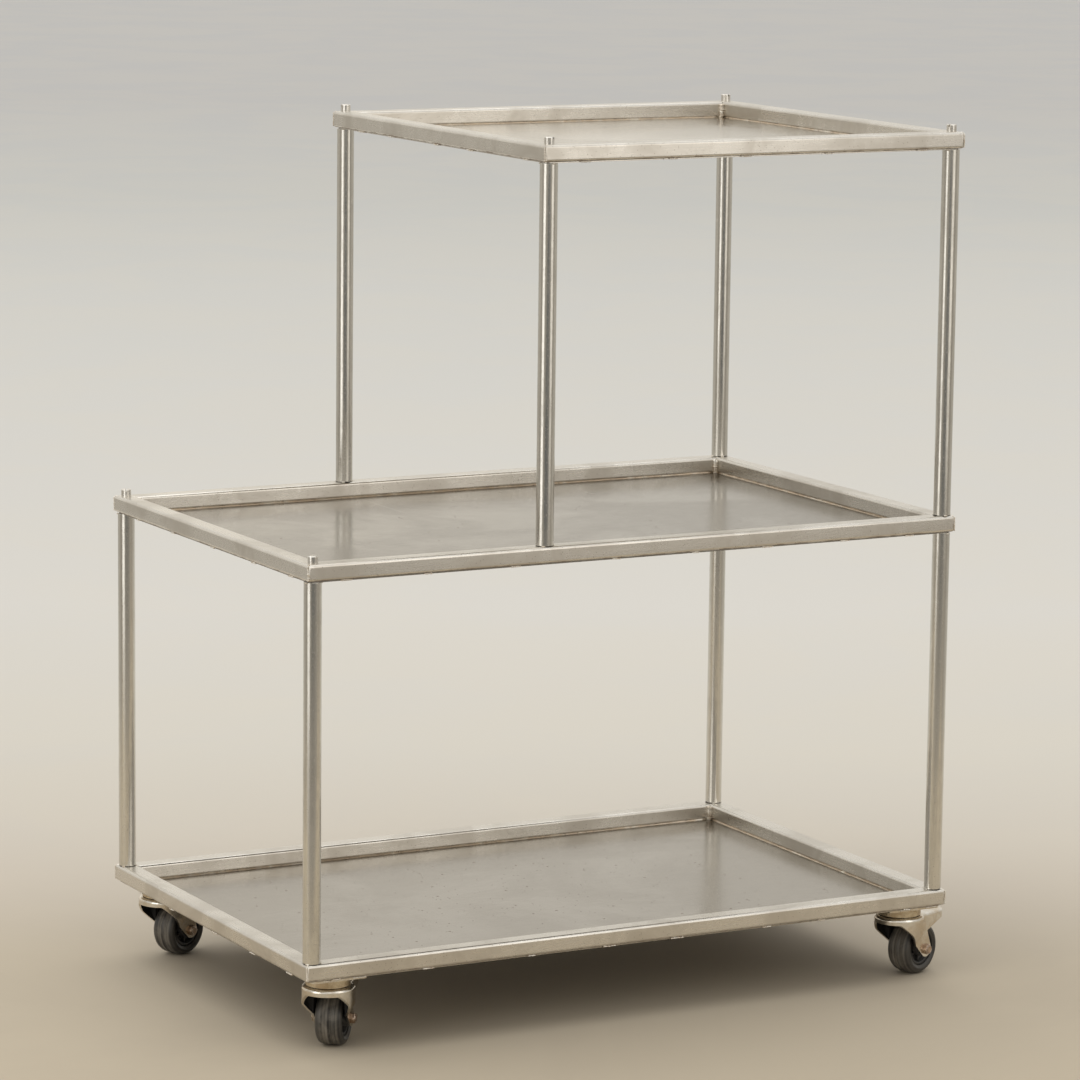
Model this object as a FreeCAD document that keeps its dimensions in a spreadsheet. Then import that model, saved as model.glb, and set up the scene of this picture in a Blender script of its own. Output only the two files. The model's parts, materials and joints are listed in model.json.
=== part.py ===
import FreeCAD, Part

import os
import re

import Sketcher

# A two-level serving trolley on four swivel casters, in millimetres.
# The origin is on the floor, in the middle of the box round the whole trolley.
# +X runs along the long side to the end under the top tray, +Y to the rear and +Z up.

doc = FreeCAD.newDocument("serving_trolley")
sheet = doc.addObject("Spreadsheet::Sheet", "Sizes")
names = []


def size(name, content):
    """One line of the sheet: a plain number, or a formula made of other sizes."""
    row = str(len(names) + 1)
    sheet.set("A" + row, name)
    sheet.set("B" + row, str(content))
    sheet.setAlias("B" + row, name)
    names.append(name)


lengths = {
    # Trays: a mitred frame of rectangular tube with a thin sheet laid beneath it.
    "long_side": 660,
    "depth": 426,
    "top_tray_length": 434,
    "rail_width": 18,
    "rail_height": 15,
    "rail_wall": 1.2,
    "rail_corner": 2.8,
    "tray_corner": 2.6,
    "sheet_thickness": 1,
    "sheet_inset": 3,
    "sheet_corner": 4,

    # Posts: round tube with a threaded plug in each end.
    "post_diameter": 16,
    "post_wall": 1.2,
    "lower_post_length": 338,
    "upper_post_length": 338,
    "post_inset": 9,
    "plug_length": 22,
    "plug_gap": 0.05,

    # Screws and studs that hold the posts to the trays.
    "screw_diameter": 6,
    "screw_hole_gap": 0.3,
    "thread_gap": 0.04,
    "screw_reach": 16,
    "head_diameter": 9.2,
    "head_height": 6.6,
    "head_round": 0.7,
    "slot_width": 1.6,
    "slot_depth": 2.2,
    "flush_head_diameter": 11.4,
    "flush_head_sink": 0.1,
    "flush_slot_depth": 1.2,

    # Casters, each in its own frame: swivel axis up, wheel trailing towards +X, zero height on the floor.
    "caster_height": 71,
    "left_caster_inset": 35.5,
    "right_caster_inset": 30.5,
    "front_caster_inset": 31,
    "rear_caster_inset": 33.5,
    "plate_side": 54,
    "plate_thickness": 2,
    "plate_corner": 4,
    "race_diameter": 40,
    "race_wall": 1.8,
    "race_bore_diameter": 14,
    "race_lip_gap": 0.4,
    "crown_drop": 10.9,
    "crown_diameter": 47,
    "crown_round": 3.5,
    "fork_sheet": 2.2,
    "lip_height": 6.5,
    "shoulder_height": 17.5,
    "leg_front_at_lip": 17.5,
    "wide_reach": 6.5,
    "hood_reach": 48,
    "hood_depth": 7,
    "hood_corner": 4,
    "hood_root": 22.5,
    "hood_root_drop": 17.5,
    "leg_tip_radius": 7.5,
    "leg_spread": 33,
    "leg_flat_rise": 5.4,
    "leg_flat_margin": 1,
    "trail": 21,
    "upper_ball_diameter": 5,
    "upper_ball_circle": 30,
    "upper_ball_sink": 0.6,
    "lower_ball_diameter": 4,
    "lower_ball_circle": 17,
    "lower_ball_sink": 0.5,
    "ball_gap": 0.15,
    "kingpin_diameter": 10,
    "kingpin_gap": 0.4,
    "kingpin_cap_diameter": 23,
    "kingpin_cap_thickness": 2.2,
    "kingpin_rivet_diameter": 13,

    # Wheels: a rubber tyre on a moulded hub that runs on a steel sleeve.
    "wheel_diameter": 50,
    "tyre_width": 24.6,
    "tyre_shoulder": 5.2,
    "tyre_seat_diameter": 33,
    "rim_width": 20,
    "rim_thickness": 3,
    "web_thickness": 9,
    "boss_diameter": 15,
    "boss_gap": 0.3,
    "axle_diameter": 6,
    "axle_gap": 0.05,
    "sleeve_diameter": 8.4,
    "sleeve_gap": 0.1,
    "nut_across_flats": 9,
    "nut_height": 3.2,
    "nut_collar_height": 0.8,
    "nut_collar_diameter": 8.2,
    "bolt_head_height": 2.6,

    # How far a cutting shape runs past what it cuts.
    "overrun": 2,
}

# Turns about +Z in degrees: of each slotted screw from +Y, and of each caster's trail from +X in the
# stored pose.
turns = {
    "top_front_left_slot": 35,
    "top_rear_left_slot": 80,
    "top_front_right_slot": 120,
    "top_rear_right_slot": 10,
    "step_front_slot": 60,
    "step_rear_slot": 150,
    "front_left_turn": 50,
    "rear_left_turn": 24,
    "front_right_turn": 21,
    "rear_right_turn": 22,
}

for name, number in {**lengths, **turns}.items():
    size(name, number)

# Heights and places that follow from the sizes above.
size("tray_height", "=sheet_thickness + rail_height")
size("bottom_tray_base", "=caster_height")
size("lower_post_base", "=bottom_tray_base + tray_height")
size("middle_tray_base", "=lower_post_base + lower_post_length")
size("upper_post_base", "=middle_tray_base + tray_height")
size("top_tray_base", "=upper_post_base + upper_post_length")
size("post_radius", "=post_diameter / 2")
size("post_bore_radius", "=post_radius - post_wall")
size("screw_radius", "=screw_diameter / 2")
size("screw_hole_radius", "=screw_radius + screw_hole_gap")
size("thread_radius", "=screw_radius + thread_gap")
size("flush_head_radius", "=flush_head_diameter / 2")
size("flush_head_depth", "=flush_head_radius - screw_radius")
size("flush_hole_radius", "=flush_head_radius + screw_hole_gap")
size("wheel_radius", "=wheel_diameter / 2")
size("axle_height", "=wheel_radius")
size("shoulder_centre_out", "=tyre_width / 2 - tyre_shoulder")
size("shoulder_centre_up", "=wheel_radius - tyre_shoulder")
size("crown_top", "=caster_height - crown_drop")
size("crown_base", "=crown_top - fork_sheet")
size("lip_base", "=crown_top - lip_height")
size("hood_low", "=crown_top - hood_depth")
size("hood_root_height", "=crown_top - hood_root_drop")
size("shoulder_base", "=crown_top - shoulder_height")
size("crown_radius", "=crown_diameter / 2")
size("plate_base", "=caster_height - plate_thickness")
size("leg_outside", "=leg_spread / 2")
size("leg_inside", "=leg_outside - fork_sheet")
size("leg_flat_top", "=axle_height + leg_flat_rise")
size("leg_flat_base", "=axle_height - leg_tip_radius - leg_flat_margin")
size("upper_ball_radius", "=upper_ball_diameter / 2")
size("upper_ball_height", "=crown_top + upper_ball_radius - upper_ball_sink")
size("lower_ball_radius", "=lower_ball_diameter / 2")
size("lower_ball_height", "=crown_base - lower_ball_radius + lower_ball_sink")
size("race_web_base", "=upper_ball_height + upper_ball_radius - upper_ball_sink")
size("race_lip_base", "=crown_top + race_lip_gap")
size("kingpin_cap_top", "=lower_ball_height - lower_ball_radius + lower_ball_sink")
size("kingpin_cap_base", "=kingpin_cap_top - kingpin_cap_thickness")
size("kingpin_radius", "=kingpin_diameter / 2")
size("rivet_radius", "=kingpin_rivet_diameter / 2")
size("rivet_depth", "=rivet_radius - kingpin_radius")

# A leg's front edge runs down from the lip and its rear edge from the hood, each to where it touches
# the round tip.
for side, start_x, start_z in (("front", "-leg_front_at_lip", "lip_base"),
                               ("rear", "hood_root", "hood_root_height")):
    size(side + "_edge_run", "=trail - ({0})".format(start_x))
    size(side + "_edge_drop", "={0} - axle_height".format(start_z))
    size(side + "_edge_length", "=sqrt({0}_edge_run ^ 2 + {0}_edge_drop ^ 2)".format(side))
    size(side + "_edge_slope", "=atan2(-{0}_edge_drop; {0}_edge_run)".format(side))
    size(side + "_edge_narrowing", "=asin(leg_tip_radius / {0}_edge_length)".format(side))
size("front_edge_angle", "=front_edge_slope - front_edge_narrowing")
size("rear_edge_angle", "=rear_edge_slope + rear_edge_narrowing")
size("front_touch_x", "=trail + leg_tip_radius * sin(front_edge_angle)")
size("front_touch_z", "=axle_height - leg_tip_radius * cos(front_edge_angle)")
size("rear_touch_x", "=trail - leg_tip_radius * sin(rear_edge_angle)")
size("rear_touch_z", "=axle_height + leg_tip_radius * cos(rear_edge_angle)")

# The trolley's middle: the front right caster's hood reaches past the right-hand rails and moves it
# that way.
size("hood_overhang", "=(hood_reach - hood_corner) * cos(front_right_turn)"
     " + (leg_outside - hood_corner) * sin(front_right_turn) + hood_corner - right_caster_inset")
size("left_face", "=-(long_side + hood_overhang) / 2")
size("right_face", "=left_face + long_side")
size("front_face", "=-depth / 2")
size("rear_face", "=depth / 2")
size("top_left_face", "=right_face - top_tray_length")
size("post_left", "=left_face + post_inset")
size("post_right", "=right_face - post_inset")
size("post_front", "=front_face + post_inset")
size("post_rear", "=rear_face - post_inset")
size("post_top_left", "=top_left_face + post_inset")
size("step_post_place", "=long_side - top_tray_length + post_inset")
size("caster_left", "=left_face + left_caster_inset")
size("caster_right", "=right_face - right_caster_inset")
size("caster_front", "=front_face + front_caster_inset")
size("caster_rear", "=rear_face - rear_caster_inset")
doc.recompute()


def value(formula):
    """What a formula of sheet names comes to now."""
    return float(sheet.evalExpression(formula))


def linked(formula):
    """The same formula with each name pointed at the sheet."""
    return re.sub(r"[a-z_]+", lambda word: "Sizes." + word[0] if word[0] in names else word[0], formula)


def bind(thing, **sizes):
    """Tie properties of an object to formulas of sheet names."""
    for field, formula in sizes.items():
        thing.setExpression(field, linked(formula))


def place(thing, x="0", y="0", z="0", turn="0"):
    """Tie a piece's place, and its turn about +Z in degrees, to the sheet."""
    spot = "vector({0}; {1}; {2})".format(linked(x), linked(y), linked(z))
    turning = "rotation(vector(0; 0; 1); {0})".format(linked(turn))
    thing.setExpression("Placement", "placement({0}; {1})".format(spot, turning))


def new_body(name):
    body = doc.addObject("PartDesign::Body", name)
    body.Label = name
    return body


def new_sketch(body, role):
    """A sketch on one of the body's own origin planes."""
    sketch = body.newObject("Sketcher::SketchObject", body.Name + "_sketch")
    plane = [item for item in body.Origin.OriginFeatures if item.Role == role][0]
    sketch.AttachmentSupport = [(plane, "")]
    sketch.MapMode = "FlatFace"
    return sketch


def constrain(sketch, formula, *terms):
    """A constraint whose size is a formula."""
    index = sketch.addConstraint(Sketcher.Constraint(*terms, value(formula)))
    sketch.setExpression("Constraints[{0}]".format(index), linked(formula))


def add_circle(sketch, x, y, radius):
    centre = FreeCAD.Vector(value(x), value(y), 0)
    index = sketch.addGeometry(Part.Circle(centre, FreeCAD.Vector(0, 0, 1), value(radius)), False)
    constrain(sketch, x, "DistanceX", index, 3)
    constrain(sketch, y, "DistanceY", index, 3)
    constrain(sketch, radius, "Radius", index)


def add_outline(sketch, corners):
    """A closed outline. A corner is (x, y), or (x, y, centre_x, centre_y, radius) where the outline
    goes on from it round an arc, in the outline's own direction when the radius starts with a plus
    sign for anticlockwise or a minus sign for clockwise."""
    points = [FreeCAD.Vector(value(corner[0]), value(corner[1]), 0) for corner in corners]
    ends = []
    for index, corner in enumerate(corners):
        start = points[index]
        finish = points[(index + 1) % len(points)]
        if len(corner) == 2:
            edge = sketch.addGeometry(Part.LineSegment(start, finish), False)
            ends.append((edge, 1, 2))
            continue
        centre = FreeCAD.Vector(value(corner[2]), value(corner[3]), 0)
        radius = corner[4][1:]
        anticlockwise = corner[4][0] == "+"
        circle = Part.Circle(centre, FreeCAD.Vector(0, 0, 1), value(radius))
        first, last = (start, finish) if anticlockwise else (finish, start)
        arc = Part.ArcOfCircle(circle, circle.parameter(first), circle.parameter(last))
        edge = sketch.addGeometry(arc, False)
        constrain(sketch, radius, "Radius", edge)
        ends.append((edge, 1, 2) if anticlockwise else (edge, 2, 1))
    for index, (edge, start, finish) in enumerate(ends):
        following, next_start, _ = ends[(index + 1) % len(ends)]
        sketch.addConstraint(Sketcher.Constraint("Coincident", edge, finish, following, next_start))
        constrain(sketch, corners[index][0], "DistanceX", edge, start)
        constrain(sketch, corners[index][1], "DistanceY", edge, start)


def add_rounded_box(sketch, left, low, right, high, radius):
    """A rectangle with round corners, as an outline of eight points."""
    near_left = "({0}) + ({1})".format(left, radius)
    near_right = "({0}) - ({1})".format(right, radius)
    near_low = "({0}) + ({1})".format(low, radius)
    near_high = "({0}) - ({1})".format(high, radius)
    bend = "+" + radius
    add_outline(sketch, [(near_left, low), (near_right, low, near_right, near_low, bend),
                         (right, near_low), (right, near_high, near_right, near_high, bend),
                         (near_right, high), (near_left, high, near_left, near_high, bend),
                         (left, near_high), (left, near_low, near_left, near_low, bend)])


def pad(body, sketch, length, both_ways=False):
    feature = body.newObject("PartDesign::Pad", body.Name + "_pad")
    feature.Profile = sketch
    feature.Midplane = both_ways
    bind(feature, Length=length)
    return feature


def pocket(body, sketch, length, both_ways=False):
    """Cut a sketch's outline out of the body, along the sketch's own normal."""
    feature = body.newObject("PartDesign::Pocket", body.Name + "_pocket")
    feature.Profile = sketch
    feature.Midplane = both_ways
    feature.Reversed = True
    bind(feature, Length=length)
    return feature


def turned(body, kind, sketch, axis):
    """A full turn of a sketch about one of its own axes, added or cut."""
    feature = body.newObject("PartDesign::" + kind, body.Name + "_turned")
    feature.Profile = sketch
    feature.ReferenceAxis = (sketch, [axis])
    feature.Angle = 360
    return feature


def turned_body(name, role, axis, corners):
    """A body that is one outline turned about an axis."""
    body = new_body(name)
    sketch = new_sketch(body, role)
    add_outline(sketch, corners)
    turned(body, "Revolution", sketch, axis)
    return body


def flush_hole(body, x, y, base):
    """The countersink that a flush screw's head sits in, opening downwards at the base."""
    cone = body.newObject("PartDesign::SubtractiveCone", body.Name + "_countersink")
    bind(cone, Radius1="flush_hole_radius + overrun", Radius2="screw_hole_radius",
         Height="flush_head_depth + overrun")
    place(cone, x, y, "({0}) - overrun".format(base))


def link_to(source, name):
    copy = doc.addObject("App::Link", name)
    copy.LinkedObject = source
    return copy


def group(name, source, spots):
    """One node of identical solids: copies of a source, placed and turned about +Z."""
    copies = []
    for index, spot in enumerate(spots):
        copy = link_to(source, "{0}_{1}".format(name, index + 1))
        place(copy, *spot)
        copies.append(copy)
    node = doc.addObject("Part::Compound", name)
    node.Label = name
    node.Links = copies
    return node


# Tray rails. Each lies along +X with its outer face on the X axis, then turns into place.
# The mitres are cut first, then the round of the tray's upright corners, then the holes. The posts'
# screws pass through the mitres, half in each rail.
def make_rail(name, length, step_post=None, flush_ends=False):
    rail = new_body(name)
    section = new_sketch(rail, "YZ_Plane")
    add_rounded_box(section, "0", "0", "rail_width", "rail_height", "rail_corner")
    add_rounded_box(section, "rail_wall", "rail_wall", "rail_width - rail_wall",
                    "rail_height - rail_wall", "rail_corner - rail_wall")
    pad(rail, section, length)
    mitre = new_sketch(rail, "XY_Plane")
    wide = "rail_width + overrun"
    far = "({0}) + overrun".format(length)
    add_outline(mitre, [("-overrun", "-overrun"), (wide, wide), ("-overrun", wide)])
    add_outline(mitre, [(far, "-overrun"), (far, wide), ("({0}) - ({1})".format(length, wide), wide)])
    corners = new_sketch(rail, "XY_Plane")
    add_outline(corners, [("tray_corner", "0", "tray_corner", "tray_corner", "-tray_corner"),
                          ("0", "tray_corner"), ("-overrun", "tray_corner"), ("-overrun", "-overrun"),
                          ("tray_corner", "-overrun")])
    last_bend = "({0}) - tray_corner".format(length)
    add_outline(corners, [(last_bend, "0", last_bend, "tray_corner", "+tray_corner"),
                          (length, "tray_corner"), (far, "tray_corner"), (far, "-overrun"),
                          (last_bend, "-overrun")])
    pocket(rail, mitre, "rail_height")
    pocket(rail, corners, "rail_height")
    holes = new_sketch(rail, "XY_Plane")
    spots = ["post_inset", "({0}) - post_inset".format(length)]
    if step_post:
        spots.append(step_post)
    for spot in spots:
        add_circle(holes, spot, "post_inset", "screw_hole_radius")
    pocket(rail, holes, "rail_height")
    flush_spots = spots[:2] if flush_ends else spots[2:]
    for spot in flush_spots:
        flush_hole(rail, spot, "post_inset", "-sheet_thickness")
    return rail


# Tray sheet, with its own corner at the tray's left front corner and its top under the rails.
def make_sheet(name, length, flush_spots, plain_spots):
    plate = new_body(name)
    outline = new_sketch(plate, "XY_Plane")
    add_rounded_box(outline, "sheet_inset", "sheet_inset", "({0}) - sheet_inset".format(length),
                    "depth - sheet_inset", "sheet_corner")
    for x, y in flush_spots + plain_spots:
        add_circle(outline, x, y, "screw_hole_radius")
    pad(plate, outline, "sheet_thickness")
    for x, y in flush_spots:
        flush_hole(plate, x, y, "0")
    return plate


def make_tray(name, left, length, base, flush_corners, step_posts):
    """Four rails and a sheet. Flush screws come up through the corners or under the step posts."""
    step_post = "step_post_place" if step_posts else None
    mirrored_step = "({0}) - step_post_place".format(length) if step_posts else None
    rail_base = "({0}) + sheet_thickness".format(base)
    front = make_rail(name + "_front_rail", length, step_post, flush_corners)
    place(front, left, "front_face", rail_base)
    rear = make_rail(name + "_rear_rail", length, mirrored_step, flush_corners)
    place(rear, "({0}) + ({1})".format(left, length), "rear_face", rail_base, "180")
    right = make_rail(name + "_right_rail", "depth", None, flush_corners)
    place(right, "({0}) + ({1})".format(left, length), "front_face", rail_base, "90")
    left_rail = make_rail(name + "_left_rail", "depth", None, flush_corners)
    place(left_rail, left, "rear_face", rail_base, "270")
    far = "({0}) - post_inset".format(length)
    corners = [(x, y) for x in ("post_inset", far) for y in ("post_inset", "depth - post_inset")]
    steps = [("step_post_place", y) for y in ("post_inset", "depth - post_inset")] if step_posts else []
    flush_spots = corners if flush_corners else steps
    plain_spots = [] if flush_corners else corners
    plate = make_sheet(name + "_sheet", length, flush_spots, plain_spots)
    place(plate, left, "front_face", base)
    return [front, rear, right, left_rail, plate]


pieces = []
pieces += make_tray("bottom_tray", "left_face", "long_side", "bottom_tray_base", True, False)
pieces += make_tray("middle_tray", "left_face", "long_side", "middle_tray_base", False, True)
pieces += make_tray("top_tray", "top_left_face", "top_tray_length", "top_tray_base", False, False)


# Posts
def make_post(name, x, y, base, length):
    post = new_body(name)
    section = new_sketch(post, "XY_Plane")
    add_circle(section, "0", "0", "post_radius")
    add_circle(section, "0", "0", "post_bore_radius")
    pad(post, section, length)
    place(post, x, y, base)
    return post


lower_spots = [("front_left", "post_left", "post_front"), ("rear_left", "post_left", "post_rear"),
               ("front_right", "post_right", "post_front"), ("rear_right", "post_right", "post_rear")]
upper_spots = [("front_left", "post_top_left", "post_front"), ("rear_left", "post_top_left", "post_rear"),
               ("front_right", "post_right", "post_front"), ("rear_right", "post_right", "post_rear")]
for spot, x, y in lower_spots:
    pieces.append(make_post("lower_{0}_post".format(spot), x, y, "lower_post_base", "lower_post_length"))
for spot, x, y in upper_spots:
    pieces.append(make_post("upper_{0}_post".format(spot), x, y, "upper_post_base", "upper_post_length"))

# Threaded plugs, one welded flush into each end of each post.
plug = new_body("plug_source")
plug_section = new_sketch(plug, "XY_Plane")
add_circle(plug_section, "0", "0", "post_bore_radius - plug_gap")
add_circle(plug_section, "0", "0", "thread_radius")
pad(plug, plug_section, "plug_length")
plug_spots = []
for spots, base, length in ((lower_spots, "lower_post_base", "lower_post_length"),
                            (upper_spots, "upper_post_base", "upper_post_length")):
    for _, x, y in spots:
        plug_spots.append((x, y, base))
        plug_spots.append((x, y, "{0} + {1} - plug_length".format(base, length)))
pieces.append(group("post_plugs", plug, plug_spots))

# Slotted screws that stand on a tray's corner and reach down into the post below it.
screw = new_body("screw_source")
screw_profile = new_sketch(screw, "XZ_Plane")
screw_end = "-tray_height - screw_reach"
add_outline(screw_profile, [("0", screw_end), ("screw_radius", screw_end), ("screw_radius", "0"),
                            ("head_diameter / 2", "0"),
                            ("head_diameter / 2", "head_height - head_round",
                             "head_diameter / 2 - head_round", "head_height - head_round", "+head_round"),
                            ("head_diameter / 2 - head_round", "head_height"), ("0", "head_height")])
turned(screw, "Revolution", screw_profile, "V_Axis")
screw_slot = new_sketch(screw, "XZ_Plane")
add_outline(screw_slot, [("-slot_width / 2", "head_height - slot_depth"),
                         ("slot_width / 2", "head_height - slot_depth"),
                         ("slot_width / 2", "head_height + overrun"),
                         ("-slot_width / 2", "head_height + overrun")])
pocket(screw, screw_slot, "head_diameter + overrun", both_ways=True)
top_face = "top_tray_base + tray_height"
step_face = "middle_tray_base + tray_height"
screw_spots = [("post_top_left", "post_front", top_face, "top_front_left_slot"),
               ("post_top_left", "post_rear", top_face, "top_rear_left_slot"),
               ("post_right", "post_front", top_face, "top_front_right_slot"),
               ("post_right", "post_rear", top_face, "top_rear_right_slot"),
               ("post_left", "post_front", step_face, "step_front_slot"),
               ("post_left", "post_rear", step_face, "step_rear_slot")]
pieces.append(group("slotted_screws", screw, screw_spots))

# Flush screws that come up through a tray into the foot of the post above it.
flush_screw = new_body("flush_screw_source")
flush_profile = new_sketch(flush_screw, "XZ_Plane")
add_outline(flush_profile, [("0", "flush_head_sink"), ("flush_head_radius", "flush_head_sink"),
                            ("screw_radius", "flush_head_sink + flush_head_depth"),
                            ("screw_radius", "tray_height + screw_reach"),
                            ("0", "tray_height + screw_reach")])
turned(flush_screw, "Revolution", flush_profile, "V_Axis")
flush_slot = new_sketch(flush_screw, "XZ_Plane")
add_outline(flush_slot, [("-slot_width / 2", "-overrun"), ("slot_width / 2", "-overrun"),
                         ("slot_width / 2", "flush_head_sink + flush_slot_depth"),
                         ("-slot_width / 2", "flush_head_sink + flush_slot_depth")])
pocket(flush_screw, flush_slot, "flush_head_diameter + overrun", both_ways=True)
flush_spots = [(x, y, "bottom_tray_base") for _, x, y in lower_spots]
flush_spots += [(x, y, "middle_tray_base") for _, x, y in upper_spots[:2]]
pieces.append(group("flush_screws", flush_screw, flush_spots))

# Studs through the middle tray that join the right-hand lower and upper posts.
stud = new_body("stud_source")
stud_section = new_sketch(stud, "XY_Plane")
add_circle(stud_section, "0", "0", "screw_radius")
pad(stud, stud_section, "tray_height + screw_reach * 2")
stud_spots = [(x, y, "middle_tray_base - screw_reach") for _, x, y in lower_spots[2:]]
pieces.append(group("joining_studs", stud, stud_spots))

# Casters: the swivel's fixed side
caster_spots = [("front_left", "caster_left", "caster_front"), ("rear_left", "caster_left", "caster_rear"),
                ("front_right", "caster_right", "caster_front"),
                ("rear_right", "caster_right", "caster_rear")]
for spot, x, y in caster_spots:
    plate = new_body(spot + "_caster_plate")
    outline = new_sketch(plate, "XY_Plane")
    add_rounded_box(outline, "-plate_side / 2", "-plate_side / 2", "plate_side / 2", "plate_side / 2",
                    "plate_corner")
    add_circle(outline, "0", "0", "kingpin_radius")
    pad(plate, outline, "plate_thickness")
    rivet_seat = plate.newObject("PartDesign::SubtractiveCone", plate.Name + "_rivet_seat")
    bind(rivet_seat, Radius1="kingpin_radius", Radius2="rivet_radius", Height="rivet_depth")
    place(rivet_seat, z="plate_thickness - rivet_depth")
    place(plate, x, y, "plate_base")
    pieces.append(plate)

fixed_turns = [(x, y, "0") for _, x, y in caster_spots]

# The race ring over the upper balls, with a lip that hides them.
race = new_body("race_source")
race_profile = new_sketch(race, "XZ_Plane")
add_outline(race_profile, [("race_bore_diameter / 2", "race_web_base"),
                           ("race_diameter / 2 - race_wall", "race_web_base"),
                           ("race_diameter / 2 - race_wall", "race_lip_base"),
                           ("race_diameter / 2", "race_lip_base"),
                           ("race_diameter / 2", "plate_base"), ("race_bore_diameter / 2", "plate_base")])
turned(race, "Revolution", race_profile, "V_Axis")
race_track = new_sketch(race, "XZ_Plane")
add_circle(race_track, "upper_ball_circle / 2", "upper_ball_height", "upper_ball_radius + ball_gap")
turned(race, "Groove", race_track, "V_Axis")
pieces.append(group("race_rings", race, fixed_turns))

kingpin = turned_body("kingpin_source", "XZ_Plane", "V_Axis",
                      [("0", "kingpin_cap_base"), ("kingpin_cap_diameter / 2", "kingpin_cap_base"),
                       ("kingpin_cap_diameter / 2", "kingpin_cap_top"),
                       ("kingpin_radius", "kingpin_cap_top"),
                       ("kingpin_radius", "caster_height - rivet_depth"),
                       ("rivet_radius", "caster_height"), ("0", "caster_height")])
kingpin_track = new_sketch(kingpin, "XZ_Plane")
add_circle(kingpin_track, "lower_ball_circle / 2", "lower_ball_height", "lower_ball_radius + ball_gap")
turned(kingpin, "Groove", kingpin_track, "V_Axis")
pieces.append(group("kingpins", kingpin, fixed_turns))

# Two rows of balls in each caster: one carries the load, the other keeps the fork up on its pin.
upper_ball = doc.addObject("Part::Sphere", "upper_ball_source")
bind(upper_ball, Radius="upper_ball_radius")
lower_ball = doc.addObject("Part::Sphere", "lower_ball_source")
bind(lower_ball, Radius="lower_ball_radius")
upper_ball_count = 14
lower_ball_count = 10
ball_rows = [(upper_ball, "upper", upper_ball_count), (lower_ball, "lower", lower_ball_count)]
balls = []
for spot, x, y in caster_spots:
    for ball, row, count in ball_rows:
        for index in range(count):
            copy = link_to(ball, "{0}_{1}_ball_{2}".format(spot, row, index + 1))
            step = "{0} * 360 / {1}".format(index, count)
            place(copy, "{0} + {1}_ball_circle / 2 * cos({2})".format(x, row, step),
                  "{0} + {1}_ball_circle / 2 * sin({2})".format(y, row, step), row + "_ball_height")
            balls.append(copy)
bearing_balls = doc.addObject("Part::Compound", "bearing_balls")
bearing_balls.Label = "bearing_balls"
bearing_balls.Links = balls
pieces.append(bearing_balls)


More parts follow.
